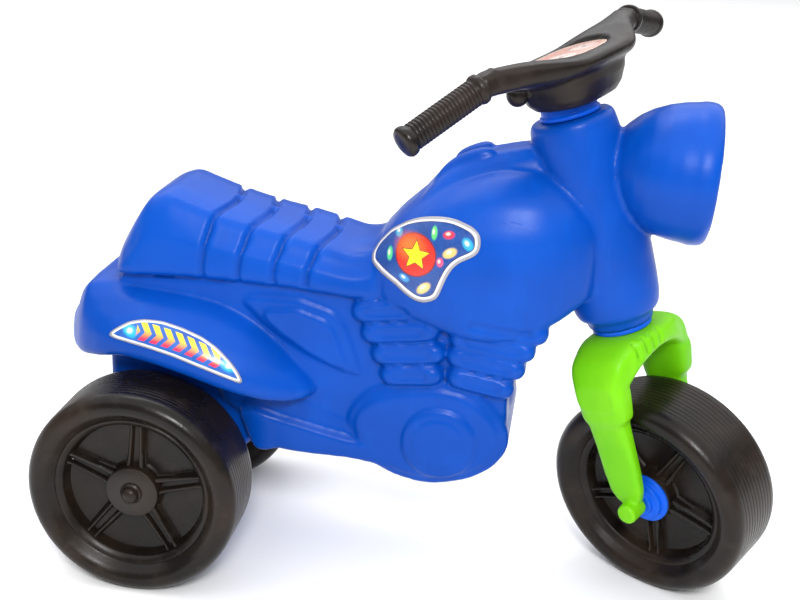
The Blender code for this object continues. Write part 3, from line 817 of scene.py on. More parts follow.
def make_handlebar():
    mesh = blended(handlebar_shape(), "black_handlebar", BAR_CELL, 3)
    handlebar_details(mesh)
    relax(mesh, 2)
    mesh.transform(STEERED)
    return add_piece("black_handlebar", mesh, "steering", ("handlebar",), 0)


def grip_outline():
    """Outline of a ribbed grip: a collar, the ribs, and a domed end."""
    floor = GRIP_LENGTH - 5
    outline = [(0, floor), (8.9, floor), (8.9, 2), (12.2, 2), (13.0, 3), (13.2, 6), (12.4, 8), (11.4, 9)]
    start, end = 10.5, GRIP_LENGTH - 7
    pitch = (end - start) / GRIP_RIBS
    rib = ((10.9, 0), (11.6, 0.22), (11.7, 0.45), (11.5, 0.68), (10.9, 0.88))
    for k in range(GRIP_RIBS):
        z = start + (end - start) * k / GRIP_RIBS
        outline += [(radius, z + pitch * share) for radius, share in rib]
    dome = ((11.2, -6), (12.7, -4.5), (13.4, -2), (13.3, 0.5), (11.8, 2.6), (8, 3.6), (0, 4))
    return outline + [(radius, GRIP_LENGTH + past) for radius, past in dome]


def make_grips():
    pieces = []
    for side, name in SIDES:
        node = "grip_" + name
        outline, place = grip_outline(), STEERED @ grip_matrix(side)
        piece = turned_piece("ribbed_" + node, outline, place, "steering", node, "Z", 64, ease=0)
        pieces.append(piece)
    return pieces


# ------------------------------------------------------------ wheels

HUB_FACE = 27.0
SPOKES = 5
TREAD_GROOVES = (2.5, 7.5, 12.5, 17.5, 22.5)


def wheel_side():
    """(radius, distance from the middle plane) from the bore to the tread's middle."""
    outline = [
        (5.3, HUB_FACE), (23.4, HUB_FACE), (24.6, HUB_FACE - 0.8), (25, HUB_FACE - 2.2),
        (25.6, 15), (27.5, 13), (61.5, 12.6), (64.6, 13.6), (66, 16), (67.2, 23.2), (68.2, 25.4),
        (70.4, 26.6), (72.2, 28.4), (73.4, 28.6), (74.4, 28.0), (75.8, 29.4), (79, 33.4),
        (82, 36.2), (85.5, 37.8), (88.5, 38.1), (92.5, 37.3), (96, 34.9), (98.6, 31.4),
        (99.7, 27.6),
    ]
    groove = ((100, 1.2), (99.95, 0.7), (99.72, 0.3), (99.72, -0.3), (99.95, -0.7), (100, -1.2))
    for h in reversed(TREAD_GROOVES):
        outline += [(radius, h + rise) for radius, rise in groove]
    return outline


def spoke_rings(angle, side):
    """A spoke: a flat web with two rounded ribs along it."""
    along = np.array((math.cos(angle), 0, math.sin(angle)))
    across = np.array((-math.sin(angle), 0, math.cos(angle)))
    out = np.array((0, side, 0))
    half = [(9.5, 11), (8.6, 14.5), (7.6, 15.4), (6.9, 19.6)]
    half += [(5.6, 20.8), (4.2, 20.6), (3.2, 19.2), (2.4, 16.2)]
    section = [(-a, depth) for a, depth in half] + [(0, 15.7)] + half[::-1]
    rings = []
    for t in np.linspace(0, 1, 14):
        reach = 21 + 48 * t
        flare = 1.12 - 0.3 * t + 0.35 * max(0, 0.2 - t) + 0.4 * max(0, t - 0.85)
        lift = 1.6 * max(0, 0.25 - t) * 4 + 2.2 * max(0, t - 0.86) * 7
        ring = []
        for sideways, depth in section:
            raised = depth + (lift if depth > 16 else 0)
            ring.append(along * reach + across * sideways * flare + out * raised)
        rings.append(ring)
    return rings


def wheel_mesh(name, place, phase):
    side = wheel_side()
    outline = [(r, -h) for r, h in side] + [(r, h) for r, h in reversed(side)]
    shape = Shape().add_rings(turned_rings(outline, 112, "Y"), closed=True)
    for face in (-1, 1):
        for k in range(SPOKES):
            shape.add_rings(spoke_rings(math.radians(phase + 360 / SPOKES * k), face))
    return shape.mesh(name, place)


def make_wheels():
    spots = (
        ("front_wheel", STEERED, 44.0),
        ("rear_wheel_right", rear_wheel_place(-1), 86.4),
        ("rear_wheel_left", rear_wheel_place(1), 93.6),
    )
    wheels = []
    for name, place, phase in spots:
        mesh = wheel_mesh("moulded_" + name, place, phase)
        wheels.append(outward(add_piece("moulded_" + name, mesh, name, (name,), 38)))
    return wheels


# ------------------------------------------------------------ turned small parts


def make_small_parts():
    """Bushes, caps, axles and steering hardware, each turned with eased edges."""
    parts = {"bush": [], "cap": [], "steel": []}

    def add(kind, name, node, outline, place, body, axis, steps, closed=False, ease=0.6):
        parts[kind].append(turned_piece(name, outline, place, body, node, axis, steps, closed, ease))

    def add_steered(name, node, outline, axis, steps, closed=False, ease=0.6):
        add("steel", name, node, outline, STEERED, "steering", axis, steps, closed, ease)

    low = HUB_FACE + 0.3
    bush = [(5.3, low), (24.4, low), (24.4, low + 3.5), (19.5, low + 3.9), (19.5, low + 8.6), (13, low + 9)]
    bush += [(13, 40.5), (5.3, 40.5)]
    for side, name in SIDES:
        outline = [(r, side * h) for r, h in bush]
        node = "front_hub_bush_" + name
        add("bush", "stepped_bush_" + name, node, outline, STEERED, "steering", "Y", 72, True)
    upper = [(10.3, 351), (17, 351), (17, 367.9), (26.4, 367.9), (27, 368.8), (27, 371.2), (25.2, 372.6)]
    upper += [(24.8, 378.2), (10.3, 378.2)]
    add("bush", "upper_collar", "upper_bush", upper, STRAIGHT, "chassis", "Z", 80, True, 0.5)
    lower = [(10.3, 165.3), (27.4, 165.3), (27.4, 169.6), (17, 169.6), (17, 186), (10.3, 186)]
    add("bush", "lower_collar", "lower_bush", lower, STRAIGHT, "chassis", "Z", 80, True, 0.5)
    rear = BODY @ Matrix.Translation((0, 0, AXLE.z / MM))
    wheel_y = (AXLE_LEFT.y - MIDDLE_Y) / MM
    cap = [(0, 3), (5, 3), (5, 0.3), (10.4, 0.3), (10.4, 1.8), (8.2, 3.2), (7.6, 5.6), (6.6, 7.6), (4.6, 9.1)]
    cap += [(2.2, 9.9), (0, 10.1)]
    inner = wheel_y - HUB_FACE - 0.3
    spacer = [(5.3, 51.4), (9, 51.4), (9, inner), (5.3, inner)]
    for side, name in SIDES:
        outline = [(r, side * (wheel_y + HUB_FACE + h)) for r, h in cap]
        add("cap", "domed_cap_" + name, "rear_axle_cap_" + name, outline, rear, "chassis", "Y", 56)
        outline = [(r, side * h) for r, h in spacer]
        add("bush", "axle_spacer_" + name, "rear_spacer_" + name, outline, rear, "chassis", "Y", 48, True)
    end = wheel_y + HUB_FACE + 2.6
    outline = [(0, -end), (4.8, -end), (4.8, end), (0, end)]
    add("steel", "rear_axle_rod", "rear_axle", outline, rear, "chassis", "Y", 40)
    add_steered("front_axle_rod", "front_axle", [(0, -57), (4.8, -57), (4.8, 66.6), (0, 66.6)], "Y", 40)
    outline = [(r, 64 + h) for r, h in cap]
    add("cap", "front_domed_cap", "front_axle_cap", outline, STEERED, "steering", "Y", 56)
    stem = [(4.3, 144), (10, 144), (10, 407.7), (4.3, 407.7)]
    add_steered("stem_tube", "steering_stem", stem, "Z", 48, True)
    bolt = [(0, 138), (8, 138), (8, 143.7), (4, 143.7), (4, 414), (0, 414)]
    add_steered("long_bolt", "stem_bolt", bolt, "Z", 36)
    washer = [(4.3, 408.3), (13, 408.3), (13, 410.3), (4.3, 410.3)]
    add_steered("flat_washer", "stem_washer", washer, "Z", 48, True, 0.2)
    nut = [(4.4, 410.6), (7.2, 410.6), (7.2, 417), (4.4, 417)]
    add_steered("hex_nut", "stem_nut", nut, "Z", 6, True, 0.3)
    return parts


# ------------------------------------------------------------ labels

# Each film's outline is drawn on an upright plane beside the body, and laid on the body along its lean
TANK_LABEL = [
    (196, 324), (192.5, 334), (195.5, 346), (206, 358), (224, 365.5), (238, 368.5), (252.5, 369.6),
    (265, 369.4), (275.6, 367.7), (291.6, 361.7), (299.5, 355), (301.5, 349), (302, 342),
    (300, 336), (293, 331.5), (285, 327), (279.5, 320.5), (276, 313), (273, 305), (270.7, 298.3),
    (269, 294), (265.5, 290.5), (256, 287.8), (249.5, 288.5), (244.5, 290.6), (236, 296),
    (228, 302.4), (208.6, 314.7),
]
CRESCENT = [
    (-32, 239), (-30, 243), (-23, 248.4), (-12.4, 255.8), (1.3, 259.9), (18.6, 259.9),
    (37.6, 255.2), (56.7, 247.9), (71.1, 238.5), (84, 225.6), (91, 216.5), (96, 207),
    (93.8, 204.5), (89.4, 205.8), (74.4, 209.8), (52.9, 216.3), (31.2, 223.2), (9.1, 228.7),
    (-10.3, 232.8), (-23.8, 236),
]


TANK_LEAN = (-0.35, 0.85, 0.4)
TANK_PLANE = 70
CRESCENT_LEAN = (0.1, 0.8, 0.5)
CRESCENT_PLANE = 102
TAIL_PLANE = -96
TAIL_HALF = 26
TAIL_Z = 221
FILM_RINGS = 16
FILM_THICKNESS = 0.5 * MM
FILM_LIFT = 0.6 * MM


def laid_film(name, outline, centre, land, replaced):
    """A thin printed film laid on the body, which stores each point's distance from its border."""
    loop = smooth_loop(outline, 120, 0.17)
    centre = np.array(centre, float)
    flat = [centre + (p - centre) * (k + 1) / FILM_RINGS for k in range(FILM_RINGS) for p in loop]
    flat.append(centre)
    count = len(loop)
    hub = FILM_RINGS * count
    faces = [(hub, i, (i + 1) % count) for i in range(count)]
    for k in range(FILM_RINGS - 1):
        low, high = k * count, (k + 1) * count
        for i in range(count):
            j = (i + 1) % count
            faces.append((low + i, high + i, high + j, low + j))
    mesh = bpy.data.meshes.new(name)
    mesh.from_pydata([land(a, b) for a, b in flat], [], faces)
    rim = [float(np.min(np.hypot(loop[:, 0] - a, loop[:, 1] - b))) for a, b in flat]
    mesh.attributes.new("rim", "FLOAT", "POINT").data.foreach_set("value", np.array(rim, np.float32))
    obj = add_piece(name, mesh, "chassis", replaced, 0)
    solid = obj.modifiers.new("film", "SOLIDIFY")
    solid.thickness = FILM_THICKNESS
    solid.offset = 0
    return obj


def landed(surface, start, lean):
    """Where a point beside the body lands on it along the lean, lifted clear of its skin."""
    hit, normal, _, _ = surface.ray_cast(start + lean * 0.1, -lean)
    if hit is None:
        hit, normal, _, _ = surface.find_nearest(start)
    return hit + normal * FILM_LIFT


def side_landing(surface, side, plane, lean):
    lean = Vector((lean[0], side * lean[1], lean[2])).normalized()
    return lambda x, z: landed(surface, BODY @ Vector((x, side * plane, z)), lean)


def tail_landing(surface):
    return lambda y, z: landed(surface, BODY @ Vector((TAIL_PLANE, y, z)), Vector((-1, 0, 0)))


def make_labels(body):
    surface = BVHTree.FromObject(body, bpy.context.evaluated_depsgraph_get())
    labels = {"tank": [], "crescent": [], "dash": [dash_piece()], "lamp": [lamp_piece()]}
    for side, name in SIDES:
        land = side_landing(surface, side, TANK_PLANE, TANK_LEAN)
        film = laid_film("tank_film_" + name, TANK_LABEL, (244, 334), land, ("tank_label_" + name,))
        labels["tank"].append(film)
        land = side_landing(surface, side, CRESCENT_PLANE, CRESCENT_LEAN)
        film = laid_film("crescent_film_" + name, CRESCENT, (36, 239), land, ("mudguard_label_" + name,))
        labels["crescent"].append(film)
    c, d = superellipse(64, 3)
    outline = np.stack([TAIL_HALF * c, TAIL_Z + 8.5 * d], axis=1)
    labels["tail"] = [laid_film("tail_film", outline, (0, TAIL_Z), tail_landing(surface), ("tail_label",))]
    return labels


def flat_film(name, rings, place, body, replaced):
    shape = Shape().add_rings(rings)
    return outward(add_piece(name, shape.mesh(name, place), body, replaced, 40))


def dash_piece():
    v, u = dash_loop(80)
    rings = []
    for s, keep in ((421.0, 1.0), (421.9, 1.0), (422.1, 0.985)):
        ahead = DASH_CENTRE + (v - DASH_CENTRE) * keep
        rings.append(np.stack([ahead, u * keep, np.full(80, s)], axis=1))
    return flat_film("dash_film", rings, STEERED, "steering", ("dash_label",))


def lamp_piece():
    """The headlight's printed lens."""
    outline = [(0, 490.4), (51.6, 490.4), (51.6, 491.2), (50.8, 491.5), (36, 492.1), (18, 492.5), (0, 492.6)]
    place = BODY @ LAMP_PLACE
    return turned_piece("lens_film", outline, place, "chassis", "lamp_label", "X", 96, False, 0)


# ------------------------------------------------------------ materials


class Nodes:
    """Short names for building a material's nodes."""

    def __init__(self, name):
        self.material = bpy.data.materials.new(name)
        self.material.use_nodes = True
        self.tree = self.material.node_tree
        self.shader = self.tree.nodes["Principled BSDF"]
        coordinates = self.tree.nodes.new("ShaderNodeTexCoord")
        self.position = coordinates.outputs["Object"]

    def link(self, source, socket):
        if hasattr(source, "is_output"):
            self.tree.links.new(source, socket)
        else:
            socket.default_value = source

    def math(self, operation, a, b=0.0):
        node = self.tree.nodes.new("ShaderNodeMath")
        node.operation = operation
        self.link(a, node.inputs[0])
        self.link(b, node.inputs[1])
        return node.outputs[0]

    def add(self, a, b):
        return self.math("ADD", a, b)

    def minus(self, a, b):
        return self.math("SUBTRACT", a, b)

    def times(self, a, b):
        return self.math("MULTIPLY", a, b)

    def length(self, a, b):
        return self.math("SQRT", self.add(self.times(a, a), self.times(b, b)))

    def axes(self):
        split = self.tree.nodes.new("ShaderNodeSeparateXYZ")
        self.tree.links.new(self.position, split.inputs[0])
        return split.outputs

    def noise(self, scale, detail=4.0, roughness=0.6, stretch=None, distortion=0.0):
        node = self.tree.nodes.new("ShaderNodeTexNoise")
        node.inputs["Scale"].default_value = scale
        node.inputs["Detail"].default_value = detail
        node.inputs["Roughness"].default_value = roughness
        node.inputs["Distortion"].default_value = distortion
        source = self.position
        if stretch:
            mapping = self.tree.nodes.new("ShaderNodeMapping")
            mapping.inputs["Scale"].default_value = stretch
            self.tree.links.new(self.position, mapping.inputs["Vector"])
            source = mapping.outputs[0]
        self.tree.links.new(source, node.inputs["Vector"])
        return node.outputs["Fac"]

    def ramp(self, value, low, high, out_low=0.0, out_high=1.0):
        node = self.tree.nodes.new("ShaderNodeMapRange")
        node.interpolation_type = "SMOOTHSTEP"
        ends = {"From Min": low, "From Max": high, "To Min": out_low, "To Max": out_high}
        for key, number in ends.items():
            node.inputs[key].default_value = number
        self.tree.links.new(value, node.inputs["Value"])
        return node.outputs[0]

    def mix(self, factor, first, second):
        node = self.tree.nodes.new("ShaderNodeMix")
        node.data_type = "RGBA"
        self.link(factor, node.inputs["Factor"])
        for value, key in ((first, "A"), (second, "B")):
            socket = [s for s in node.inputs if s.name == key and s.type == "RGBA"][0]
            self.link(value if hasattr(value, "is_output") else (*value, 1.0), socket)
        return [s for s in node.outputs if s.type == "RGBA"][0]

    def bump(self, height, distance, strength=1.0, below=None):
        node = self.tree.nodes.new("ShaderNodeBump")
        node.inputs["Strength"].default_value = strength
        node.inputs["Distance"].default_value = distance
        self.tree.links.new(height, node.inputs["Height"])
        if below is not None:
            self.tree.links.new(below, node.inputs["Normal"])
        return node.outputs[0]

    def pointed(self, low, high, out_low=0.0, out_high=1.0):
        """From out_low in hollows to out_high on edges."""
        geometry = self.tree.nodes.new("ShaderNodeNewGeometry")
        return self.ramp(geometry.outputs["Pointiness"], low, high, out_low, out_high)

    def finish(self, colour, roughness, normal=None, **constants):
        self.link(colour, self.shader.inputs["Base Color"])
        self.link(roughness, self.shader.inputs["Roughness"])
        if normal is not None:
            self.tree.links.new(normal, self.shader.inputs["Normal"])
        for key, value in constants.items():
            self.shader.inputs[key.replace("_", " ")].default_value = value
        return self.material


def moulded_plastic(name, dark, base, light, worn, roughness, grain=0.00012):
    """Blow-moulded plastic: faint cloudy colour, orange-peel skin, scuffs on its edges, and painted shade in
    its creases.
    """
    n = Nodes(name)
    cloud = n.noise(9.0, 3.0, 0.55)
    streaks = n.noise(38.0, 5.0, 0.65, (1.0, 1.0, 0.22))
    speckle = n.noise(900.0, 2.0, 0.5)
    tone = n.mix(n.ramp(cloud, 0.38, 0.66), dark, base)
    tone = n.mix(n.times(n.ramp(streaks, 0.5, 0.78), 0.45), tone, light)
    rub = n.times(n.pointed(0.52, 0.60), n.ramp(n.noise(60.0, 6.0, 0.7), 0.42, 0.66))
    tone = n.mix(n.times(rub, 0.5), tone, worn)
    # Painted shade: hollows and creases are darkened towards a deeper copy of the dark tone, standing in for
    # the shade that falls there.
    painted_crease_shade = n.times(n.pointed(0.40, 0.488, 1.0, 0.0), 0.8)
    tone = n.mix(painted_crease_shade, tone, [value * 0.35 for value in dark])
    scratch = n.ramp(n.noise(70.0, 8.0, 0.75, (0.5, 3.0, 2.0), 0.6), 0.62, 0.7)
    gloss = n.ramp(cloud, 0.3, 0.7, roughness - 0.05, roughness + 0.06)
    gloss = n.add(gloss, n.times(scratch, 0.12))
    gloss = n.add(gloss, n.times(speckle, 0.04))
    peel = n.bump(n.noise(320.0, 3.0, 0.5), grain, 0.6)
    skin = n.bump(n.noise(26.0, 2.0, 0.5), 0.0011, 0.5, peel)
    fine = n.bump(scratch, 0.00006, 0.6, skin)
    return n.finish(tone, gloss, fine, Specular_IOR_Level=0.15)


def black_plastic(name, base, brown, roughness, coarse):
    """Dark moulding with a warm cast and a fine leathery grain."""
    n = Nodes(name)
    cloud = n.noise(14.0, 4.0, 0.6)
    dust = n.ramp(n.noise(55.0, 6.0, 0.7), 0.5, 0.75)
    tone = n.mix(n.ramp(cloud, 0.36, 0.68), base, brown)
    tone = n.mix(n.times(dust, 0.18), tone, (0.06, 0.050, 0.045))
    rub = n.times(n.pointed(0.53, 0.62), 0.35)
    tone = n.mix(rub, tone, (0.07, 0.060, 0.055))
    gloss = n.ramp(cloud, 0.3, 0.7, roughness - 0.05, roughness + 0.08)
    gloss = n.add(gloss, n.times(dust, 0.1))
    grain = n.bump(n.noise(coarse, 3.0, 0.6), 0.00022, 0.55)
    skin = n.bump(n.noise(30.0, 2.0, 0.5), 0.0009, 0.45, grain)
    return n.finish(tone, gloss, skin, Specular_IOR_Level=0.22)


def steel(name):
    n = Nodes(name)
    brushed = n.noise(260.0, 4.0, 0.6, (1.0, 0.08, 1.0))
    tone = n.mix(brushed, (0.42, 0.42, 0.44), (0.66, 0.66, 0.67))
    gloss = n.ramp(brushed, 0.3, 0.7, 0.24, 0.4)
    return n.finish(tone, gloss, n.bump(brushed, 0.00005, 0.5), Metallic=1.0)


def body_axes(n):
    """The body's x, y and z in millimetres, as node outputs."""
    x, y, z = n.axes()
    return n.times(n.minus(x, AXLE.x), 1 / MM), n.times(n.minus(y, MIDDLE_Y), 1 / MM), n.times(z, 1 / MM)


def spot(n, x, z, centre, radii, edge=0.12, tilt=0.0):
    """1 inside an ellipse and 0 outside it."""
    dx = n.minus(x, centre[0])
    dz = n.minus(z, centre[1])
    c, s = math.cos(math.radians(tilt)), math.sin(math.radians(tilt))
    along = n.add(n.times(dx, c), n.times(dz, s))
    across = n.minus(n.times(dz, c), n.times(dx, s))
    along = n.math("DIVIDE", along, radii[0])
    across = n.math("DIVIDE", across, radii[1])
    reach = n.length(along, across)
    return n.ramp(reach, 1.0 - edge, 1.0 + edge, 1.0, 0.0)


def star_mask(n, x, z, centre, outer, inner, points=5):
    """1 inside a star with its first point upwards."""
    dx = n.minus(x, centre[0])
    dz = n.minus(z, centre[1])
    angle = n.math("ARCTAN2", dx, dz)
    sector = 2 * math.pi / points
    folded = n.math("PINGPONG", n.add(angle, 4 * math.pi), sector / 2)
    reach = n.length(dx, dz)
    px = n.times(reach, n.math("COSINE", folded))
    py = n.times(reach, n.math("SINE", folded))
    tip = np.array([outer, 0.0])
    notch = np.array([inner * math.cos(sector / 2), inner * math.sin(sector / 2)])
    side = notch - tip
    normal = np.array([-side[1], side[0]]) / np.linalg.norm(side)
    if np.dot(-tip, normal) < 0:
        normal = -normal
    value = n.add(n.times(px, float(normal[0])), n.times(py, float(normal[1])))
    depth = n.minus(value, float(np.dot(tip, normal)))
    return n.ramp(depth, -0.25, 0.25)


SILVER = (0.30, 0.29, 0.32)
WHITE = (0.72, 0.71, 0.78)


def film_finish(n, colour, roughness=0.22):
    wear = n.noise(120.0, 5.0, 0.7)
    gloss = n.ramp(wear, 0.35, 0.7, roughness, roughness + 0.14)
    ripple = n.bump(n.noise(40.0, 2.0, 0.5), 0.0005, 0.35)
    return n.finish(colour, gloss, ripple, Specular_IOR_Level=0.5)


def bordered(n, tone, bands):
    """Paints a film's border: bands of colour, each out to a distance from the rim."""
    node = n.tree.nodes.new("ShaderNodeAttribute")
    node.attribute_name = "rim"
    for solid, gone, colour in bands:
        tone = n.mix(n.ramp(node.outputs["Fac"], solid, gone, 1.0, 0.0), tone, colour)
    return tone


def tank_art():
    """A yellow star on a red disc, with coloured lights on dark blue inside a pale border."""
    n = Nodes("tank_print")
    x, _, z = body_axes(n)
    glow = n.noise(70.0, 3.0, 0.5)
    tone = n.mix(glow, (0.006, 0.03, 0.16), (0.02, 0.09, 0.36))
    lights = (
        ((258, 354), (2.6, 5.5), 0, (0.10, 0.55, 0.15)),
        ((271, 354), (5.0, 3.2), 10, (0.75, 0.04, 0.08)),
        ((288, 348), (4.2, 6.0), 40, (0.03, 0.35, 0.65)),
        ((273, 339), (6.4, 4.0), 30, (0.72, 0.48, 0.16)),
        ((265, 330), (3.0, 4.0), 0, (0.70, 0.08, 0.20)),
        ((252, 305), (7.0, 4.0), 42, (0.72, 0.50, 0.18)),
        ((219, 330), (2.6, 5.5), 0, (0.08, 0.50, 0.22)),
        ((225, 348), (3.6, 3.6), 0, (0.03, 0.32, 0.50)),
        ((234, 312), (5.0, 3.0), -30, (0.04, 0.25, 0.55)),
    )
    for centre, radii, tilt, colour in lights:
        tone = n.mix(spot(n, x, z, centre, radii, 0.25, tilt), tone, colour)
        core = (centre[0] - 0.8, centre[1] + 0.8)
        small = (radii[0] * 0.35, radii[1] * 0.35)
        tone = n.mix(spot(n, x, z, core, small, 0.8, tilt), tone, (0.80, 0.76, 0.60))
    disc = (243, 333)
    tone = n.mix(spot(n, x, z, disc, (18.6, 18.6), 0.03), tone, (0.20, 0.02, 0.02))
    tone = n.mix(spot(n, x, z, disc, (17.4, 17.4), 0.03), tone, (0.72, 0.03, 0.02))
    tone = n.mix(spot(n, x, z, (238, 339), (11, 9), 0.7), tone, (0.85, 0.16, 0.03))
    tone = n.mix(star_mask(n, x, z, disc, 14.2, 6.6), tone, (0.12, 0.03, 0.02))
    tone = n.mix(star_mask(n, x, z, disc, 12.6, 5.8), tone, (0.90, 0.66, 0.02))
    bands = ((5.2, 5.8, (0.04, 0.03, 0.06)), (4.6, 5.0, WHITE), (2.6, 3.1, SILVER))
    return film_finish(n, bordered(n, tone, bands))


def crescent_art():
    """Slanting yellow-to-red chevrons between two pale blue lights, inside a white border."""
    n = Nodes("crescent_print")
    x, _, z = body_axes(n)
    glow = n.noise(60.0, 3.0, 0.5)
    tone = n.mix(glow, (0.01, 0.05, 0.30), (0.03, 0.16, 0.52))
    line = n.add(z, n.times(x, 0.26))
    centre_line = n.minus(line, 249.0)
    bend = n.times(n.times(n.minus(x, 36), n.minus(x, 36)), 0.0024)
    height = n.add(centre_line, bend)
    slant = n.add(x, n.times(n.math("ABSOLUTE", height), 0.9))
    wave = n.math("PINGPONG", n.add(slant, 200.0), 5.6)
    stripes = n.ramp(wave, 2.0, 2.6)
    band = n.ramp(n.math("ABSOLUTE", height), 6.6, 7.2, 1.0, 0.0)
    middle = n.ramp(n.math("ABSOLUTE", n.minus(x, 35)), 39.0, 40.0, 1.0, 0.0)
    warm = n.mix(n.ramp(height, -6.0, 6.0), (0.75, 0.03, 0.10), (0.93, 0.68, 0.03))
    mask = n.times(n.times(stripes, band), middle)
    tone = n.mix(mask, tone, warm)
    for centre in ((-11, 245.5), (83, 222)):
        tone = n.mix(spot(n, x, z, centre, (7.5, 4.6), 0.35, -25), tone, (0.03, 0.40, 0.66))
        tone = n.mix(spot(n, x, z, centre, (2.6, 2.0), 0.6), tone, (0.65, 0.90, 0.95))
    return film_finish(n, bordered(n, tone, ((3.2, 3.7, WHITE), (1.5, 2.0, SILVER))))


def steered_axes(n):
    """The steered frame's forward and left places in millimetres, as node outputs."""
    inverse = STEERED.inverted()
    axes = n.axes()
    result = []
    for row in range(2):
        total = n.add(n.times(axes[0], inverse[row][0]), inverse[row][3])
        for k in (1, 2):
            total = n.add(total, n.times(axes[k], inverse[row][k]))
        result.append(total)
    return result


def dash_art():
    """Two plain dials and a row of dots on cream."""
    n = Nodes("dash_print")
    v, u = steered_axes(n)
    tone = n.mix(n.noise(30.0, 3.0, 0.5), (0.52, 0.36, 0.28), (0.56, 0.42, 0.36))
    tone = n.mix(spot(n, v, u, (16, 0), (23, 35), 0.05), tone, (0.55, 0.30, 0.25))
    for centre in (-17, 17):
        tone = n.mix(spot(n, v, u, (18, centre), (13.6, 13.6), 0.04), tone, (0.45, 0.30, 0.30))
        tone = n.mix(spot(n, v, u, (18, centre), (12.4, 12.4), 0.04), tone, (0.62, 0.50, 0.45))
        tone = n.mix(spot(n, v, u, (21, centre + 3), (8, 1.1), 0.2, 40), tone, (0.75, 0.10, 0.08))
        tone = n.mix(spot(n, v, u, (18, centre), (2.4, 2.4), 0.2), tone, (0.20, 0.16, 0.16))
    for k in range(5):
        tone = n.mix(spot(n, v, u, (-4, -18 + 9 * k), (2.4, 2.4), 0.15), tone, (0.70, 0.22, 0.18))
    return film_finish(n, tone, 0.25)


def tail_art():
    n = Nodes("tail_print")
    _, y, z = body_axes(n)
    tone = n.mix(n.noise(50.0, 3.0, 0.5), (0.50, 0.51, 0.48), (0.62, 0.61, 0.56))
    tone = n.mix(spot(n, y, z, (-13, TAIL_Z), (9, 5.5), 0.08), tone, (0.62, 0.05, 0.04))
    tone = n.mix(spot(n, y, z, (13, TAIL_Z), (9, 5.5), 0.08), tone, (0.62, 0.05, 0.04))
    tone = n.mix(spot(n, y, z, (0, TAIL_Z), (2.6, 4.5), 0.1), tone, (0.85, 0.45, 0.05))
    return film_finish(n, tone)


def lens_art():
    """A pale printed lens with rings and fine upright flutes."""
    n = Nodes("lens_print")
    _, y, z = body_axes(n)
    flute = n.math("PINGPONG", n.add(y, 200.0), 3.0)
    tone = n.mix(n.ramp(flute, 0.6, 2.4), (0.34, 0.36, 0.38), (0.52, 0.53, 0.54))
    inner = spot(n, y, z, (0, LAMP_Z), (30, 30), 0.02)
    tone = n.mix(inner, tone, (0.58, 0.54, 0.36))
    tone = n.mix(spot(n, y, z, (0, LAMP_Z), (14, 14), 0.15), tone, (0.64, 0.62, 0.54))
    edge = spot(n, y, z, (0, LAMP_Z), (46.5, 46.5), 0.015)
    tone = n.mix(edge, (0.20, 0.21, 0.23), tone)
    return film_finish(n, tone)


def paint(pieces, material):
    for piece in pieces:
        piece.data.materials.clear()
        piece.data.materials.append(material)


# ------------------------------------------------------------ camera, lights, floor


# Half the floor's width, in metres
FLOOR = 9.0


def add_camera():
    eye = Vector((373, -1091, 670))
    target = Vector((181.2, 0, 268.2))
    roll = math.radians(2.145)
    forward = (target - eye).normalized()
    right = forward.cross(Vector((0, 0, 1))).normalized()
    up = right.cross(forward)
    right, up = right * math.cos(roll) + up * math.sin(roll), up * math.cos(roll) - right * math.sin(roll)
    camera = bpy.data.objects.new("camera", bpy.data.cameras.new("camera"))
    camera.data.lens = 55.65
    camera.data.sensor_width = 36
    camera.data.shift_x = 0.051
    camera.data.shift_y = -0.012
    turn = Matrix((right, up, -forward)).transposed().to_4x4()
    camera.matrix_world = Matrix.Translation(BODY @ eye) @ turn
    bpy.context.scene.collection.objects.link(camera)
    bpy.context.scene.camera = camera


def add_area(name, place, target, size, power, colour=(1, 1, 1)):
    light = bpy.data.lights.new(name, "AREA")
    light.shape = "RECTANGLE"
    light.size, light.size_y = size
    light.energy = power
    light.color = colour
    obj = bpy.data.objects.new(name, light)
    bpy.context.scene.collection.objects.link(obj)
    place, target = Vector(place), Vector(target)
    turn = (target - place).to_track_quat("-Z", "Y").to_matrix().to_4x4()
    obj.matrix_world = Matrix.Translation(place) @ turn


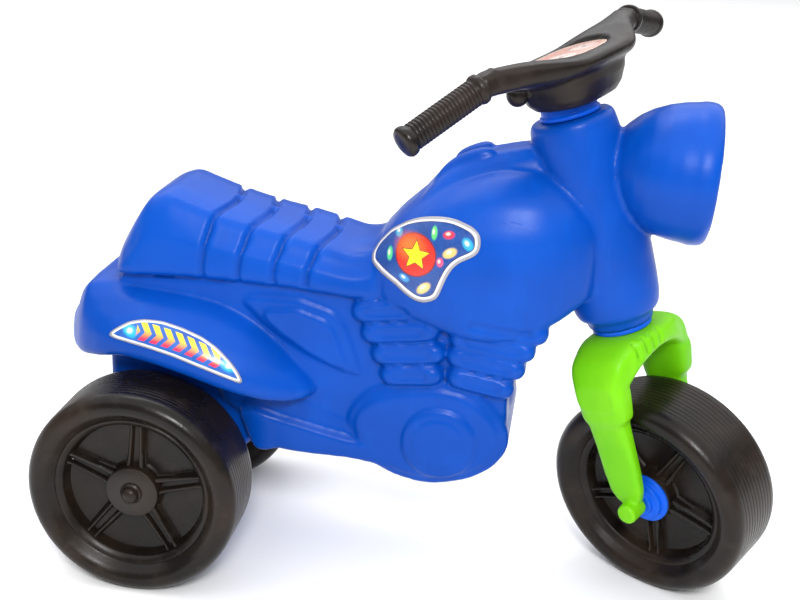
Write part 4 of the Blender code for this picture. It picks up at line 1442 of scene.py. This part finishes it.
def add_studio():
    world = bpy.data.worlds.new("studio")
    bpy.context.scene.world = world
    world.use_nodes = True
    background = world.node_tree.nodes["Background"]
    background.inputs["Color"].default_value = (0.96, 0.97, 1.0, 1.0)
    background.inputs["Strength"].default_value = 0.36
    add_area("key", (0.35, -1.7, 1.45), (0.05, 0, 0.25), (0.45, 0.4), 34)
    add_area("overhead", (0, 1.0, 3.2), (0, 0.6, 0), (10, 10), 430)
    add_area("window", (-0.3, 0.5, 1.7), (0, 0, 0.3), (1.2, 0.35), 7, (0.93, 0.94, 1.0))
    mesh = bpy.data.meshes.new("floor")
    corners = [(-FLOOR, -FLOOR, 0), (FLOOR, -FLOOR, 0), (FLOOR, FLOOR, 0), (-FLOOR, FLOOR, 0)]
    mesh.from_pydata(corners, [], [(0, 1, 2, 3)])
    floor = bpy.data.objects.new("floor", mesh)
    bpy.context.scene.collection.objects.link(floor)
    n = Nodes("pale_floor")
    tone = n.mix(n.noise(3.0, 3.0, 0.5), (0.94, 0.94, 0.94), (0.96, 0.96, 0.96))
    mesh.materials.append(n.finish(tone, 0.7, None))
    bpy.context.scene.view_settings.view_transform = "Standard"


# ------------------------------------------------------------ the toy

body = make_body()
fork = make_fork()
handlebar = make_handlebar()
grips = make_grips()
wheels = make_wheels()
small = make_small_parts()
labels = make_labels(body)

blue = moulded_plastic(
    "blue_plastic",
    (0.0004, 0.052, 0.34),
    (0.0006, 0.063, 0.4),
    (0.002, 0.084, 0.47),
    (0.05, 0.19, 0.62),
    0.31,
)
green = moulded_plastic(
    "green_plastic", (0.13, 0.48, 0.004), (0.16, 0.53, 0.005), (0.21, 0.60, 0.010), (0.36, 0.68, 0.10), 0.34
)
bright_blue = moulded_plastic(
    "bush_plastic", (0.002, 0.08, 0.58), (0.004, 0.11, 0.70), (0.02, 0.17, 0.80), (0.15, 0.32, 0.80), 0.30
)
black = black_plastic("black_bar_plastic", (0.007, 0.005, 0.004), (0.016, 0.010, 0.007), 0.30, 420.0)
tyre = black_plastic("black_wheel_plastic", (0.006, 0.0045, 0.0035), (0.017, 0.010, 0.006), 0.30, 300.0)
paint([body], blue)
paint([fork], green)
paint([handlebar] + grips + small["cap"], black)
paint(wheels, tyre)
paint(small["bush"], bright_blue)
paint(small["steel"], steel("plated_steel"))
paint(labels["tank"], tank_art())
paint(labels["crescent"], crescent_art())
paint(labels["dash"], dash_art())
paint(labels["tail"], tail_art())
paint(labels["lamp"], lens_art())

add_camera()
add_studio()
